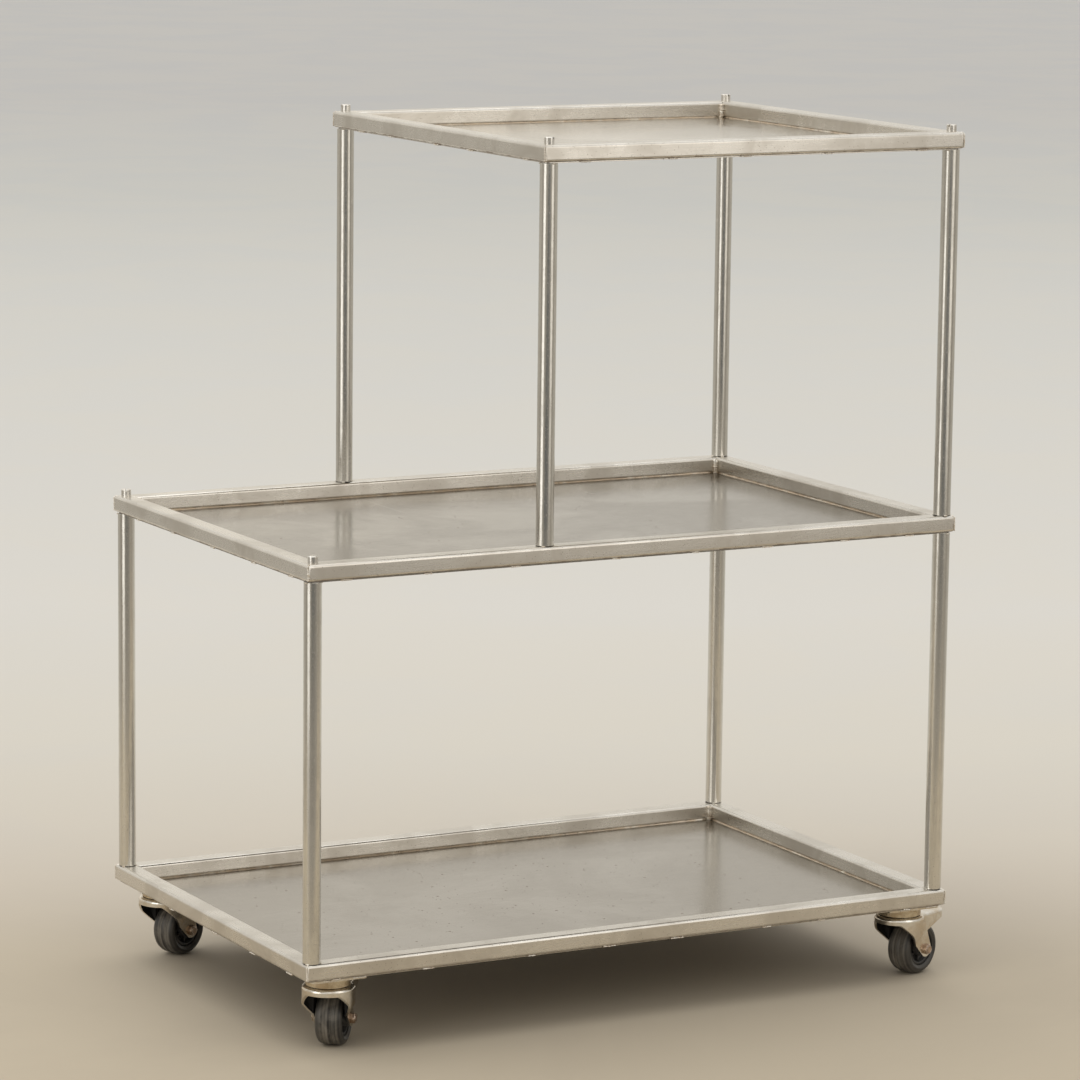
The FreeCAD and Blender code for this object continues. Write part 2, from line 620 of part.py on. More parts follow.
# The fork: one pressed sheet, a round crown with a lip, two legs that trail back, and a hood over the
# top of the wheel. The legs are round with the crown in front of the swivel axis. A fold just behind
# the axis brings them in to the width of the hood, and they are flat from there on.
def make_fork(name):
    fork = new_body(name)
    rim = [("crown_radius", "crown_top - crown_round", "crown_radius - crown_round",
            "crown_top - crown_round", "+crown_round"), ("crown_radius - crown_round", "crown_top")]
    outside = [("leg_outside", "leg_flat_base"), ("leg_outside", "leg_flat_top"),
               ("crown_radius", "shoulder_base")]
    inside = [("crown_radius - fork_sheet", "crown_base"), ("crown_radius - fork_sheet", "shoulder_base"),
              ("leg_inside", "leg_flat_top"), ("leg_inside", "leg_flat_base")]
    front = new_sketch(fork, "YZ_Plane")
    add_outline(front, outside + rim + [("0", "crown_top"), ("0", "crown_base")] + inside)
    round_front = turned(fork, "Revolution", front, "V_Axis")
    round_front.Angle = 180
    behind = new_sketch(fork, "YZ_Plane")
    left_rim = [("-crown_radius + crown_round", "crown_top", "-crown_radius + crown_round",
                 "crown_top - crown_round", "+crown_round"), ("-crown_radius", "crown_top - crown_round")]
    left_outside = [("-" + y, z) for y, z in reversed(outside)]
    left_inside = [("-({0})".format(y), z) for y, z in reversed(inside)]
    add_outline(behind, outside + rim + left_rim + left_outside + left_inside + inside)
    pad(fork, behind, "wide_reach")
    channel = [("-leg_inside", "leg_flat_base"), ("-leg_inside", "crown_base"),
               ("leg_inside", "crown_base"), ("leg_inside", "leg_flat_base")]
    fold = new_sketch(fork, "YZ_Plane")
    fold.setExpression("AttachmentOffset.Base.z", linked("wide_reach - fork_sheet"))
    add_outline(fold, outside + rim + left_rim + left_outside + channel)
    pad(fork, fold, "fork_sheet")
    hood = new_sketch(fork, "YZ_Plane")
    hood.setExpression("AttachmentOffset.Base.z", linked("wide_reach - fork_sheet"))
    bend_y = "leg_outside - crown_round"
    bend_z = "crown_top - crown_round"
    add_outline(hood, [("leg_outside", "leg_flat_base"),
                       ("leg_outside", bend_z, bend_y, bend_z, "+crown_round"), (bend_y, "crown_top"),
                       ("-leg_outside + crown_round", "crown_top", "-leg_outside + crown_round", bend_z,
                        "+crown_round"), ("-leg_outside", bend_z), ("-leg_outside", "leg_flat_base")] +
                channel)
    pad(fork, hood, "hood_reach - wide_reach + fork_sheet")
    corner_x = "hood_reach - hood_corner"
    past = "hood_reach + overrun"
    for sign, turn in (("", "-"), ("-", "+")):
        corner = new_sketch(fork, "XY_Plane")
        wall = sign + "leg_outside"
        corner_y = "{0}(leg_outside - hood_corner)".format(sign)
        outer = "{0}(leg_outside + overrun)".format(sign)
        add_outline(corner, [(corner_x, wall, corner_x, corner_y, turn + "hood_corner"),
                             ("hood_reach", corner_y), (past, corner_y), (past, outer),
                             (corner_x, outer)])
        pocket(fork, corner, "crown_top + overrun")
    window = new_sketch(fork, "XZ_Plane")
    low = "leg_flat_base - overrun"
    front_end = "-crown_radius - overrun"
    add_outline(window, [(front_end, "lip_base"), (front_end, low), (past, low), (past, "hood_low"),
                         ("hood_reach", "hood_low"), ("hood_root", "hood_root_height"),
                         ("rear_touch_x", "rear_touch_z", "trail", "axle_height", "-leg_tip_radius"),
                         ("front_touch_x", "front_touch_z"), ("-leg_front_at_lip", "lip_base")])
    pocket(fork, window, "leg_spread + crown_diameter", both_ways=True)
    crown = new_sketch(fork, "YZ_Plane")
    add_outline(crown, [("crown_radius", "lip_base")] + rim +
                [("0", "crown_top"), ("0", "crown_base"), ("crown_radius - fork_sheet", "crown_base"),
                 ("crown_radius - fork_sheet", "lip_base")])
    turned(fork, "Revolution", crown, "V_Axis")
    pin_hole = new_sketch(fork, "XY_Plane")
    add_circle(pin_hole, "0", "0", "kingpin_radius + kingpin_gap")
    pocket(fork, pin_hole, "crown_top + overrun")
    axle_hole = new_sketch(fork, "XZ_Plane")
    add_circle(axle_hole, "trail", "axle_height", "axle_diameter / 2 + axle_gap")
    pocket(fork, axle_hole, "leg_spread + overrun", both_ways=True)
    for row in ("upper", "lower"):
        track = new_sketch(fork, "XZ_Plane")
        add_circle(track, row + "_ball_circle / 2", row + "_ball_height", row + "_ball_radius + ball_gap")
        turned(fork, "Groove", track, "V_Axis")
    return fork


# Wheel pieces lie along their own Y axis, about the middle of the axle.
def make_tyre(name):
    half = "tyre_width / 2"
    seat = "tyre_seat_diameter / 2"
    out = "shoulder_centre_out"
    up = "shoulder_centre_up"
    return turned_body(name, "YZ_Plane", "H_Axis",
                       [("-" + half, seat), (half, seat), (half, up, out, up, "+tyre_shoulder"),
                        (out, "wheel_radius"),
                        ("-" + out, "wheel_radius", "-" + out, up, "+tyre_shoulder"), ("-" + half, up)])


def make_hub(name):
    boss_half = "leg_inside - boss_gap"
    boss = "boss_diameter / 2"
    rim_inside = "tyre_seat_diameter / 2 - rim_thickness"
    seat = "tyre_seat_diameter / 2"
    bore = "sleeve_diameter / 2 + sleeve_gap"
    half = [(boss_half, bore), (boss_half, boss), ("web_thickness / 2", boss),
            ("web_thickness / 2", rim_inside), ("rim_width / 2", rim_inside), ("rim_width / 2", seat)]
    mirrored = [("-({0})".format(x), y) for x, y in reversed(half)]
    return turned_body(name, "YZ_Plane", "H_Axis", half + mirrored)


def make_sleeve(name):
    half = "leg_inside"
    return turned_body(name, "YZ_Plane", "H_Axis",
                       [("-" + half, "axle_diameter / 2 + axle_gap"), (half, "axle_diameter / 2 + axle_gap"),
                        (half, "sleeve_diameter / 2"), ("-" + half, "sleeve_diameter / 2")])


def add_hexagon(sketch, across_flats):
    corners = []
    for turn in range(0, 360, 60):
        reach = "({0}) / 2 / cos(30) * ".format(across_flats)
        corners.append((reach + "cos({0})".format(turn), reach + "sin({0})".format(turn)))
    add_outline(sketch, corners)


def add_hexagon_pad(body, start, height):
    """A hexagon across the axle, from a start along +Y."""
    section = new_sketch(body, "XZ_Plane")
    section.setExpression("AttachmentOffset.Base.z", linked("-({0}) - ({1})".format(start, height)))
    add_hexagon(section, "nut_across_flats")
    pad(body, section, height)


def make_bolt(name):
    """The axle: its head outside the far leg and its thread through the nut on the near one."""
    thread_end = "leg_outside + nut_height + nut_collar_height"
    bolt = turned_body(name, "YZ_Plane", "H_Axis",
                       [("-({0})".format(thread_end), "0"), ("leg_outside", "0"),
                        ("leg_outside", "axle_diameter / 2"),
                        ("-({0})".format(thread_end), "axle_diameter / 2")])
    add_hexagon_pad(bolt, "leg_outside", "bolt_head_height")
    return bolt


def make_nut(name):
    nut = new_body(name)
    add_hexagon_pad(nut, "-leg_outside - nut_height", "nut_height")
    collar = new_sketch(nut, "YZ_Plane")
    start = "-leg_outside - nut_height"
    finish = "-leg_outside - nut_height - nut_collar_height"
    add_outline(collar, [(start, "0"), (finish, "0"),
                         (finish, "nut_collar_diameter / 2 - nut_collar_height / 2"),
                         ("({0}) + nut_collar_height / 2".format(finish), "nut_collar_diameter / 2"),
                         (start, "nut_collar_diameter / 2")])
    turned(nut, "Revolution", collar, "H_Axis")
    thread = new_sketch(nut, "XZ_Plane")
    add_circle(thread, "0", "0", "axle_diameter / 2 + thread_gap")
    pocket(nut, thread, "(leg_outside + nut_height + nut_collar_height + overrun) * 2", both_ways=True)
    return nut


for spot, x, y in caster_spots:
    turn = spot + "_turn"
    fork = make_fork(spot + "_fork")
    place(fork, x, y, "0", turn)
    pieces.append(fork)
    axle_x = "{0} + trail * cos({1})".format(x, turn)
    axle_y = "{0} + trail * sin({1})".format(y, turn)
    for make, label in ((make_tyre, "tyre"), (make_hub, "wheel_hub"), (make_sleeve, "axle_sleeve"),
                        (make_bolt, "axle_bolt"), (make_nut, "axle_nut")):
        piece = make("{0}_{1}".format(spot, label))
        place(piece, axle_x, axle_y, "axle_height", turn)
        pieces.append(piece)

doc.recompute()

for thing in doc.Objects:
    for state in ("Invalid", "Error"):
        if state in thing.State:
            raise RuntimeError("{0} is in state {1}".format(thing.Name, thing.State))
os.makedirs("parts", exist_ok=True)
whole = FreeCAD.BoundBox()
for piece in pieces:
    shape = piece.Shape
    if shape.isNull() or not shape.isValid():
        raise RuntimeError(piece.Label + " has no valid shape")
    shape.exportStep(os.path.join("parts", piece.Label + ".step"))
    whole.add(shape.BoundBox)
    print(piece.Label, len(shape.Solids), round(shape.Volume, 1))
print("nodes", len(pieces), "box", whole)
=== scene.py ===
# %% [markdown]
# # A serving trolley of welded steel tube
#
# The trolley has three trays, eight posts and four swivel casters. Its measured solids come from the
# CAD frame, so every rail and post is already where it belongs. This lesson adds what the solids
# leave out: weld beads, moulded tyres and hubs, rounded edges, and the look of worn stainless steel.
# Everything is in metres, in the frame of the solids: +X along the long side, +Y to the rear, +Z up.

# %% Load the frame
import json
import math
import random

import bmesh
import bpy
from mathutils import Matrix, Vector


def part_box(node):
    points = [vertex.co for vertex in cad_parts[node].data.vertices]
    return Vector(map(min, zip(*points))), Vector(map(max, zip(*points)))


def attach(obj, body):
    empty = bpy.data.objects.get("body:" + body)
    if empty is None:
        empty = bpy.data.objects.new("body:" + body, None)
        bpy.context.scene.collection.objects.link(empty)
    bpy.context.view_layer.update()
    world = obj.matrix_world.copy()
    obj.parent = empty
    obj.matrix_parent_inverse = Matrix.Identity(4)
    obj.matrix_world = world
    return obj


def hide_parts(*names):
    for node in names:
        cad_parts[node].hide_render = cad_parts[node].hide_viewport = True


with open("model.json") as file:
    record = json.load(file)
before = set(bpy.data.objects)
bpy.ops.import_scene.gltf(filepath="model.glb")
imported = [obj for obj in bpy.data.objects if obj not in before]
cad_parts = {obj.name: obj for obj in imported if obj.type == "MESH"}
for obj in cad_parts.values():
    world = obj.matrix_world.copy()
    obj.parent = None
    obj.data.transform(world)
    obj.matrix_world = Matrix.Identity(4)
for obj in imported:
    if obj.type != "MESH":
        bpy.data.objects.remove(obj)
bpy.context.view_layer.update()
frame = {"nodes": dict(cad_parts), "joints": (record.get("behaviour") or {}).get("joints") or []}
mm = 0.001

# %% [markdown]
# ## Camera
#
# The photographer stood well back with a long lens, a little above the top tray, and looked down at
# the left front corner. A camera's place can be guessed by eye, or solved from corners whose places
# are known. Here it was solved, so the lens, place and angles are plain numbers.

# %% Camera
camera_data = bpy.data.cameras.new("camera")
camera_data.sensor_width = 36
camera_data.lens = 156.25
camera_data.clip_end = 200
camera = bpy.data.objects.new("camera", camera_data)
camera.location = (-2.03348, -3.79994, 1.12403)
camera.rotation_euler = [math.radians(angle) for angle in (80.5641, -0.6423, -28.0461)]
bpy.context.scene.collection.objects.link(camera)
bpy.context.scene.camera = camera
print("camera lens", camera_data.lens)

# %% [markdown]
# ## Shader helpers
#
# A node material is a small drawing of boxes and wires. A few helpers keep that short: the first feeds
# a socket with a value or a wire, the others add a node or do one step of arithmetic with it.


# %% Shader helpers
def feed(tree, socket, content):
    """Give a socket a value, or join a wire to it."""
    if isinstance(content, bpy.types.NodeSocket):
        tree.links.new(content, socket)
    else:
        socket.default_value = content


def add_node(tree, kind, fields=None, **sockets):
    """Add a shader node. A socket is given by name, with _ for a space, as a value or a wire."""
    item = tree.nodes.new("ShaderNode" + kind)
    for field, content in (fields or {}).items():
        setattr(item, field, content)
    for label, content in sockets.items():
        feed(tree, item.inputs[label.replace("_", " ")], content)
    return item


def maths(tree, operation, *terms, clamp=False):
    """One arithmetic step on numbers or wires. Its result is a wire."""
    item = tree.nodes.new("ShaderNodeMath")
    item.operation = operation
    item.use_clamp = clamp
    for socket, term in zip(item.inputs, terms):
        feed(tree, socket, term)
    return item.outputs[0]


def vector_maths(tree, operation, *terms):
    """The same for vectors. A dot product or a length is a number, any other result a vector."""
    item = tree.nodes.new("ShaderNodeVectorMath")
    item.operation = operation
    for socket, term in zip(item.inputs, terms):
        feed(tree, socket, term)
    return item.outputs["Value" if operation in ("LENGTH", "DOT_PRODUCT") else "Vector"]


def remap(tree, wire, low, high, to_low=0.0, to_high=1.0):
    """Stretch a range of a wire to another range, softly at both ends."""
    item = add_node(tree, "MapRange", {"interpolation_type": "SMOOTHSTEP"}, Value=wire, From_Min=low,
                    From_Max=high, To_Min=to_low, To_Max=to_high)
    return item.outputs["Result"]


def blend_colours(tree, factor, first, second):
    """A mix of two colours, from first at 0 to second at 1."""
    item = tree.nodes.new("ShaderNodeMix")
    item.data_type = "RGBA"
    for index, content in ((0, factor), (6, first), (7, second)):
        feed(tree, item.inputs[index], content)
    return item.outputs[2]


def new_group(name, numbers, outputs=("Mask",)):
    """An empty node group with a Vector input, numbered inputs and masks out."""
    tree = bpy.data.node_groups.new(name, "ShaderNodeTree")
    tree.interface.new_socket(name="Vector", in_out="INPUT", socket_type="NodeSocketVector")
    for label, content in numbers.items():
        kind = "NodeSocketVector" if isinstance(content, tuple) else "NodeSocketFloat"
        socket = tree.interface.new_socket(name=label, in_out="INPUT", socket_type=kind)
        socket.default_value = content
    for label in outputs:
        tree.interface.new_socket(name=label, in_out="OUTPUT", socket_type="NodeSocketFloat")
    return tree, tree.nodes.new("NodeGroupInput").outputs, tree.nodes.new("NodeGroupOutput").inputs


def use_group(tree, group, output="Mask", **sockets):
    """Place a node group in a tree and give its result as a wire."""
    item = tree.nodes.new("ShaderNodeGroup")
    item.node_tree = group
    for label, content in sockets.items():
        feed(tree, item.inputs[label], content)
    return item.outputs[output]


print("helpers ready")

# %% [markdown]
# ## Shared effects
#
# Steel shows five things over and over: fine grain from the belt that ground it, edges rubbed
# bright, smudges from hands and cloths, thin scratches, and small dark pits. Each is built once as a
# node group with its own inputs, and each material places it with its own values. Geometry could
# carry scratches too, but at this size a bump and a change of roughness read the same.

# %% Grain
grain, ins, outs = new_group("grain", {"Stretch": (1.0, 1.0, 1.0)})
stretched = vector_maths(grain, "MULTIPLY", ins["Vector"], ins["Stretch"])
noise = add_node(grain, "TexNoise", Vector=stretched, Scale=1.0, Detail=4.0, Roughness=0.6)
grain.links.new(remap(grain, noise.outputs["Fac"], 0.3, 0.7), outs["Mask"])
print("group", grain.name)

# %% [markdown]
# Edges rub bright where hands, cloths and doors touch them. A map of them could be baked, but the
# Bevel node gives the normal that a rounded edge would have, and its angle to the true normal marks
# the edge at once. Noise breaks the line up, because wear is never even.

# %% Worn edges
worn_edges, ins, outs = new_group("worn_edges", {"Width": 0.001, "Break": 400.0})
soft = add_node(worn_edges, "Bevel", {"samples": 4}, Radius=ins["Width"])
flat = add_node(worn_edges, "NewGeometry")
facing = vector_maths(worn_edges, "DOT_PRODUCT", soft.outputs["Normal"], flat.outputs["Normal"])
edge = remap(worn_edges, maths(worn_edges, "SUBTRACT", 1.0, facing), 0.01, 0.12)
patchy = add_node(worn_edges, "TexNoise", Vector=ins["Vector"], Scale=ins["Break"], Detail=3.0)
broken = remap(worn_edges, patchy.outputs["Fac"], 0.35, 0.6, 0.25, 1.0)
worn_edges.links.new(maths(worn_edges, "MULTIPLY", edge, broken), outs["Mask"])
print("group", worn_edges.name)

# %% [markdown]
# Hands and damp cloths leave cloudy patches that blur the steel. A distorted noise with a soft
# threshold gives them, and Cover says how much of the surface they take.

# %% Smudges
smudges, ins, outs = new_group("smudges", {"Scale": 12.0, "Cover": 0.5})
cloud = add_node(smudges, "TexNoise", Vector=ins["Vector"], Scale=ins["Scale"], Detail=6.0,
                 Roughness=0.62, Distortion=0.6)
high = maths(smudges, "SUBTRACT", 0.8, maths(smudges, "MULTIPLY", ins["Cover"], 0.4))
low = maths(smudges, "SUBTRACT", high, 0.22)
smudges.links.new(remap(smudges, cloud.outputs["Fac"], low, high), outs["Mask"])
print("group", smudges.name)

# %% [markdown]
# Scratches are thin, nearly straight, and run in several directions. The borders between stretched
# Voronoi cells are such lines. Three turned layers cross each other, and a slow noise hides most of
# each, so that no net shows.

# %% Scratches
scratches, ins, outs = new_group("scratches", {"Scale": 20.0, "Amount": 0.4, "Thickness": 0.012})
layers = []
for angles, seed in (((0.3, 0.2, 0.5), 0.0), ((1.1, 0.4, 2.0), 7.3), ((0.6, 1.5, 1.2), 3.1)):
    turned = add_node(scratches, "Mapping", Vector=ins["Vector"], Rotation=angles,
                      Location=(seed, seed, seed), Scale=(1.0, 0.09, 1.0))
    wobble = add_node(scratches, "TexNoise", Vector=turned.outputs[0], Scale=9.0, Detail=1.0)
    drift = vector_maths(scratches, "SCALE", wobble.outputs["Color"])
    drift.node.inputs["Scale"].default_value = 0.012
    bent = vector_maths(scratches, "ADD", turned.outputs[0], drift)
    cells = add_node(scratches, "TexVoronoi", {"feature": "DISTANCE_TO_EDGE"}, Vector=bent,
                     Scale=ins["Scale"], Randomness=1.0)
    line = maths(scratches, "LESS_THAN", cells.outputs["Distance"], ins["Thickness"])
    finer = maths(scratches, "MULTIPLY", ins["Scale"], 1.7)
    spot = add_node(scratches, "TexNoise", Vector=turned.outputs[0], Scale=finer, Detail=0.0)
    start = maths(scratches, "SUBTRACT", 0.85, maths(scratches, "MULTIPLY", ins["Amount"], 0.4))
    shown = maths(scratches, "GREATER_THAN", spot.outputs["Fac"], start)
    layers.append(maths(scratches, "MULTIPLY", line, shown))
total = maths(scratches, "MAXIMUM", maths(scratches, "MAXIMUM", layers[0], layers[1]), layers[2])
scratches.links.new(total, outs["Mask"])
print("group", scratches.name)

# %% [markdown]
# Small pits stay where moisture ate into the steel. Every Voronoi cell has a random colour, so a
# threshold on that colour keeps only a few of the dots.

# %% Pits
pits, ins, outs = new_group("pits", {"Scale": 900.0, "Amount": 0.3})
dots = add_node(pits, "TexVoronoi", Vector=ins["Vector"], Scale=ins["Scale"], Randomness=1.0)
near = remap(pits, dots.outputs["Distance"], 0.12, 0.32, 1.0, 0.0)
chosen = add_node(pits, "SeparateColor", Color=dots.outputs["Color"])
kept = maths(pits, "LESS_THAN", chosen.outputs[0], ins["Amount"])
pits.links.new(maths(pits, "MULTIPLY", near, kept), outs["Mask"])
print("group", pits.name)

# %% [markdown]
# ## Steel
#
# All the steel is one recipe with different numbers. The colour leans from clean to dulled where it
# is smudged, lighter on rubbed edges and darker in pits. Roughness does most of the work: ground
# steel is half blurred, a smudge blurs it more and a rubbed edge less.


# %% Steel recipe
def steel(name, colour, dull, roughness, stretch, smudge=(9.0, 0.5), scratch=(14.0, 0.3),
          pit=(700.0, 0.12), wear=0.8 * mm, grain_depth=0.05 * mm, grain_change=0.12, grain_tone=0.35,
          smear=0.10, stain_and_shade=None, stain_and_shade_colour=(0.20, 0.13, 0.08)):
    """A worn steel. Smudge, scratch and pit are a scale and an amount, wear is the rubbed edge's width.

    Stretch is the grain's fineness along X, Y and Z. Grain and smear each change the roughness by as
    much as is given. The stain and shade function, when given, adds a mask to the tree where its colour
    is laid on: rust and stains, and painted shade in corners, gaps and under things.
    """
    material = bpy.data.materials.new(name)
    material.use_nodes = True
    tree = material.node_tree
    shader = tree.nodes["Principled BSDF"]
    place = add_node(tree, "TexCoord").outputs["Object"]
    fine = use_group(tree, grain, Vector=place, Stretch=stretch)
    smeared = use_group(tree, smudges, Vector=place, Scale=smudge[0], Cover=smudge[1])
    lines = use_group(tree, scratches, Vector=place, Scale=scratch[0], Amount=scratch[1])
    holes = use_group(tree, pits, Vector=place, Scale=pit[0], Amount=pit[1])
    rubbed = use_group(tree, worn_edges, Vector=place, Width=wear)
    tone = blend_colours(tree, smeared, (*colour, 1), (*dull, 1))
    shaded = maths(tree, "MULTIPLY", fine, grain_tone)
    tone = blend_colours(tree, shaded, tone, (*[c * 0.72 for c in colour], 1))
    tone = blend_colours(tree, maths(tree, "MULTIPLY", lines, 0.35), tone, (0.86, 0.84, 0.80, 1))
    tone = blend_colours(tree, maths(tree, "MULTIPLY", rubbed, 0.55), tone, (0.88, 0.86, 0.82, 1))
    tone = blend_colours(tree, maths(tree, "MULTIPLY", holes, 0.75), tone, (0.16, 0.12, 0.09, 1))
    rough = maths(tree, "ADD", maths(tree, "MULTIPLY", fine, grain_change), roughness)
    rough = maths(tree, "ADD", rough, maths(tree, "MULTIPLY", smeared, smear))
    rough = maths(tree, "SUBTRACT", rough, maths(tree, "MULTIPLY", rubbed, 0.12))
    rough = maths(tree, "ADD", rough, maths(tree, "MULTIPLY", holes, 0.3), clamp=True)
    metallic = None
    # Painted shade with stains: the mask darkens the colour, dulls it and takes the metal away.
    if stain_and_shade:
        stain_and_shade_mask = stain_and_shade(tree, place)
        tone = blend_colours(tree, stain_and_shade_mask, tone, (*stain_and_shade_colour, 1))
        rough = maths(tree, "MAXIMUM", rough, maths(tree, "MULTIPLY", stain_and_shade_mask, 0.75))
        metallic = maths(tree, "SUBTRACT", 1.0, maths(tree, "MULTIPLY", stain_and_shade_mask, 0.9))
    tree.links.new(tone, shader.inputs["Base Color"])
    tree.links.new(rough, shader.inputs["Roughness"])
    if metallic:
        tree.links.new(metallic, shader.inputs["Metallic"])
    else:
        shader.inputs["Metallic"].default_value = 1.0
    height = maths(tree, "SUBTRACT", fine, maths(tree, "MULTIPLY", lines, 0.8))
    height = maths(tree, "SUBTRACT", height, maths(tree, "MULTIPLY", holes, 1.5))
    bump = add_node(tree, "Bump", Height=height, Strength=0.5, Distance=grain_depth)
    tree.links.new(bump.outputs["Normal"], shader.inputs["Normal"])
    return material


print("recipe ready")

# %% [markdown]
# ## Rails and sheets
#
# The rails were belt ground along their length, so their grain is stretched along X on the long
# rails and along Y on the short ones. Each sheet lies under its frame, and a brown line runs all round
# the inside of a tray where the two meet: partly rust that wiping never reaches, partly painted shade
# in the corner. A thinner dark line of painted shade runs along the foot of each rail, for the shadow
# in the gap under its round lower edge. A mask could be painted, but the tray's own sizes give it
# exactly.

# %% Rust and painted shade in the trays
levels = ("bottom", "middle", "top")
rail_inside = 18 * mm  # from a rail's outer face to its inner one


def tray_box(level):
    """A tray's middle and half size between the inner faces of its rails, and the sheet's top."""
    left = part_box(level + "_tray_left_rail")[0].x + rail_inside
    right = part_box(level + "_tray_right_rail")[1].x - rail_inside
    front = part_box(level + "_tray_front_rail")[0].y + rail_inside
    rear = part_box(level + "_tray_rear_rail")[1].y - rail_inside
    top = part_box(level + "_tray_sheet")[1].z
    middle = Vector(((left + right) / 2, (front + rear) / 2, top))
    return middle, Vector(((right - left) / 2, (rear - front) / 2, 0))


# Painted shade with rust: a ragged mask along the inner corner between the rails and the sheet.
crevice, ins, outs = new_group("crevice", {"Middle": (0.0, 0.0, 0.0), "Half": (1.0, 1.0, 0.0),
                                           "Reach": 0.004})
offset = vector_maths(crevice, "SUBTRACT", ins["Vector"], ins["Middle"])
across = vector_maths(crevice, "ABSOLUTE", offset)
gap = add_node(crevice, "SeparateXYZ", Vector=vector_maths(crevice, "SUBTRACT", ins["Half"], across))
to_wall = maths(crevice, "MINIMUM", gap.outputs["X"], gap.outputs["Y"])
above = add_node(crevice, "SeparateXYZ", Vector=across).outputs["Z"]
distance = maths(crevice, "MAXIMUM", maths(crevice, "ABSOLUTE", to_wall), above)
ragged = add_node(crevice, "TexNoise", Vector=ins["Vector"], Scale=90.0, Detail=5.0, Roughness=0.7)
swell = remap(crevice, ragged.outputs["Fac"], 0.32, 0.72, 0.12, 1.6)
reach = maths(crevice, "MULTIPLY", ins["Reach"], swell)
crevice.links.new(remap(crevice, maths(crevice, "DIVIDE", distance, reach), 0.3, 1.0, 1.0, 0.0),
                  outs["Mask"])

# Painted shade: a ragged dark line at one height, for the shadowed gap at a rail's foot and where a post
# meets a tray.
low_line, ins, outs = new_group("low_line", {"Base": 0.0, "Reach": 0.001})
height = add_node(low_line, "SeparateXYZ", Vector=ins["Vector"]).outputs["Z"]
rise = maths(low_line, "ABSOLUTE", maths(low_line, "SUBTRACT", height, ins["Base"]))
ragged = add_node(low_line, "TexNoise", Vector=ins["Vector"], Scale=70.0, Detail=4.0, Roughness=0.65)
swell = remap(low_line, ragged.outputs["Fac"], 0.35, 0.68, 0.25, 1.5)
reach = maths(low_line, "MULTIPLY", ins["Reach"], swell)
low_line.links.new(remap(low_line, maths(low_line, "DIVIDE", rise, reach), 0.4, 1.0, 1.0, 0.0),
                   outs["Mask"])
for level in levels:
    print(level, "tray, between its rails", [round(v / mm, 1) for v in tray_box(level)[1] * 2])

# %% [markdown]
# Each tray has its own steels, because the rust and the painted shade follow its own corners. The
# two lower sheets are painted darker than the top one, as the shade that the trays above cast on them,
# and the sheets are smoother than the rails. A loop makes all nine materials from one recipe, so that
# they stay one family.

# %% Rail and sheet materials
rail_colour, rail_dull = (0.72, 0.69, 0.64), (0.60, 0.565, 0.51)
# Painted shade: the middle and bottom sheets are darker copies of the top sheet's steel.
sheet_colours_lit_and_shaded = {"top": ((0.66, 0.63, 0.58), (0.59, 0.56, 0.51)),
                 "middle": ((0.32, 0.30, 0.27), (0.285, 0.265, 0.235)),
                 "bottom": ((0.40, 0.375, 0.335), (0.36, 0.335, 0.295))}
along_x, along_y = (45.0, 900.0, 900.0), (900.0, 45.0, 900.0)
steels = {}
for level in levels:
    middle, half = tray_box(level)
    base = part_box(level + "_tray_front_rail")[0].z

    # The rails' mask: rust and painted shade in the inner corner, and painted shade along the foot.
    def rail_rust_and_shade(tree, place, middle=middle, half=half, base=base):
        line = use_group(tree, crevice, Vector=place, Middle=tuple(middle), Half=tuple(half),
                         Reach=0.8 * mm)
        foot = use_group(tree, low_line, Vector=place, Base=base, Reach=1.5 * mm)
        return maths(tree, "MAXIMUM", line, maths(tree, "MULTIPLY", foot, 0.75))

    # The sheets' mask: rust and painted shade along the corner at the rails, and small dark stains.
    def sheet_stains_and_shade(tree, place, middle=middle, half=half):
        line = use_group(tree, crevice, Vector=place, Middle=tuple(middle), Half=tuple(half),
                         Reach=1.5 * mm)
        specks = use_group(tree, pits, Vector=place, Scale=160.0, Amount=0.05)
        return maths(tree, "MAXIMUM", line, maths(tree, "MULTIPLY", specks, 0.6))

    for way, stretch in (("x", along_x), ("y", along_y)):
        steels[level, way] = steel(level + "_rail_along_" + way, rail_colour, rail_dull, 0.25, stretch,
                                   smudge=(14.0, 0.4), scratch=(14.0, 0.1), grain_depth=0.008 * mm,
                                   grain_change=0.04, grain_tone=0.08, smear=0.05, stain_and_shade=rail_rust_and_shade)
    steels[level, "sheet"] = steel(level + "_sheet_satin", *sheet_colours_lit_and_shaded[level], 0.12,
                                   (60.0, 700.0, 700.0), smudge=(6.0, 0.6), scratch=(16.0, 0.08),
                                   pit=(300.0, 0.06), grain_depth=0.01 * mm, grain_change=0.05,
                                   grain_tone=0.2, smear=0.07, stain_and_shade=sheet_stains_and_shade)
print("tray steels", len(steels))

# %% [markdown]
# ## Posts, screws and caster steel
#
# The posts are drawn tube: bright, with fine marks round them and small pits. The screw heads are
# polished. The casters are nickel plated, with a warm stain, and the race rings, bolts and nuts have
# a yellow zinc skin.

# %% Small steels
def post_end_shade(tree, place):
    """Painted shade: dark lines round the posts at the heights where they meet the trays."""
    lines = None
    for level in levels:
        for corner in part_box(level + "_tray_front_rail"):
            line = use_group(tree, low_line, Vector=place, Base=corner.z, Reach=1.0 * mm)
            lines = maths(tree, "MAXIMUM", lines, line) if lines else line
    return lines


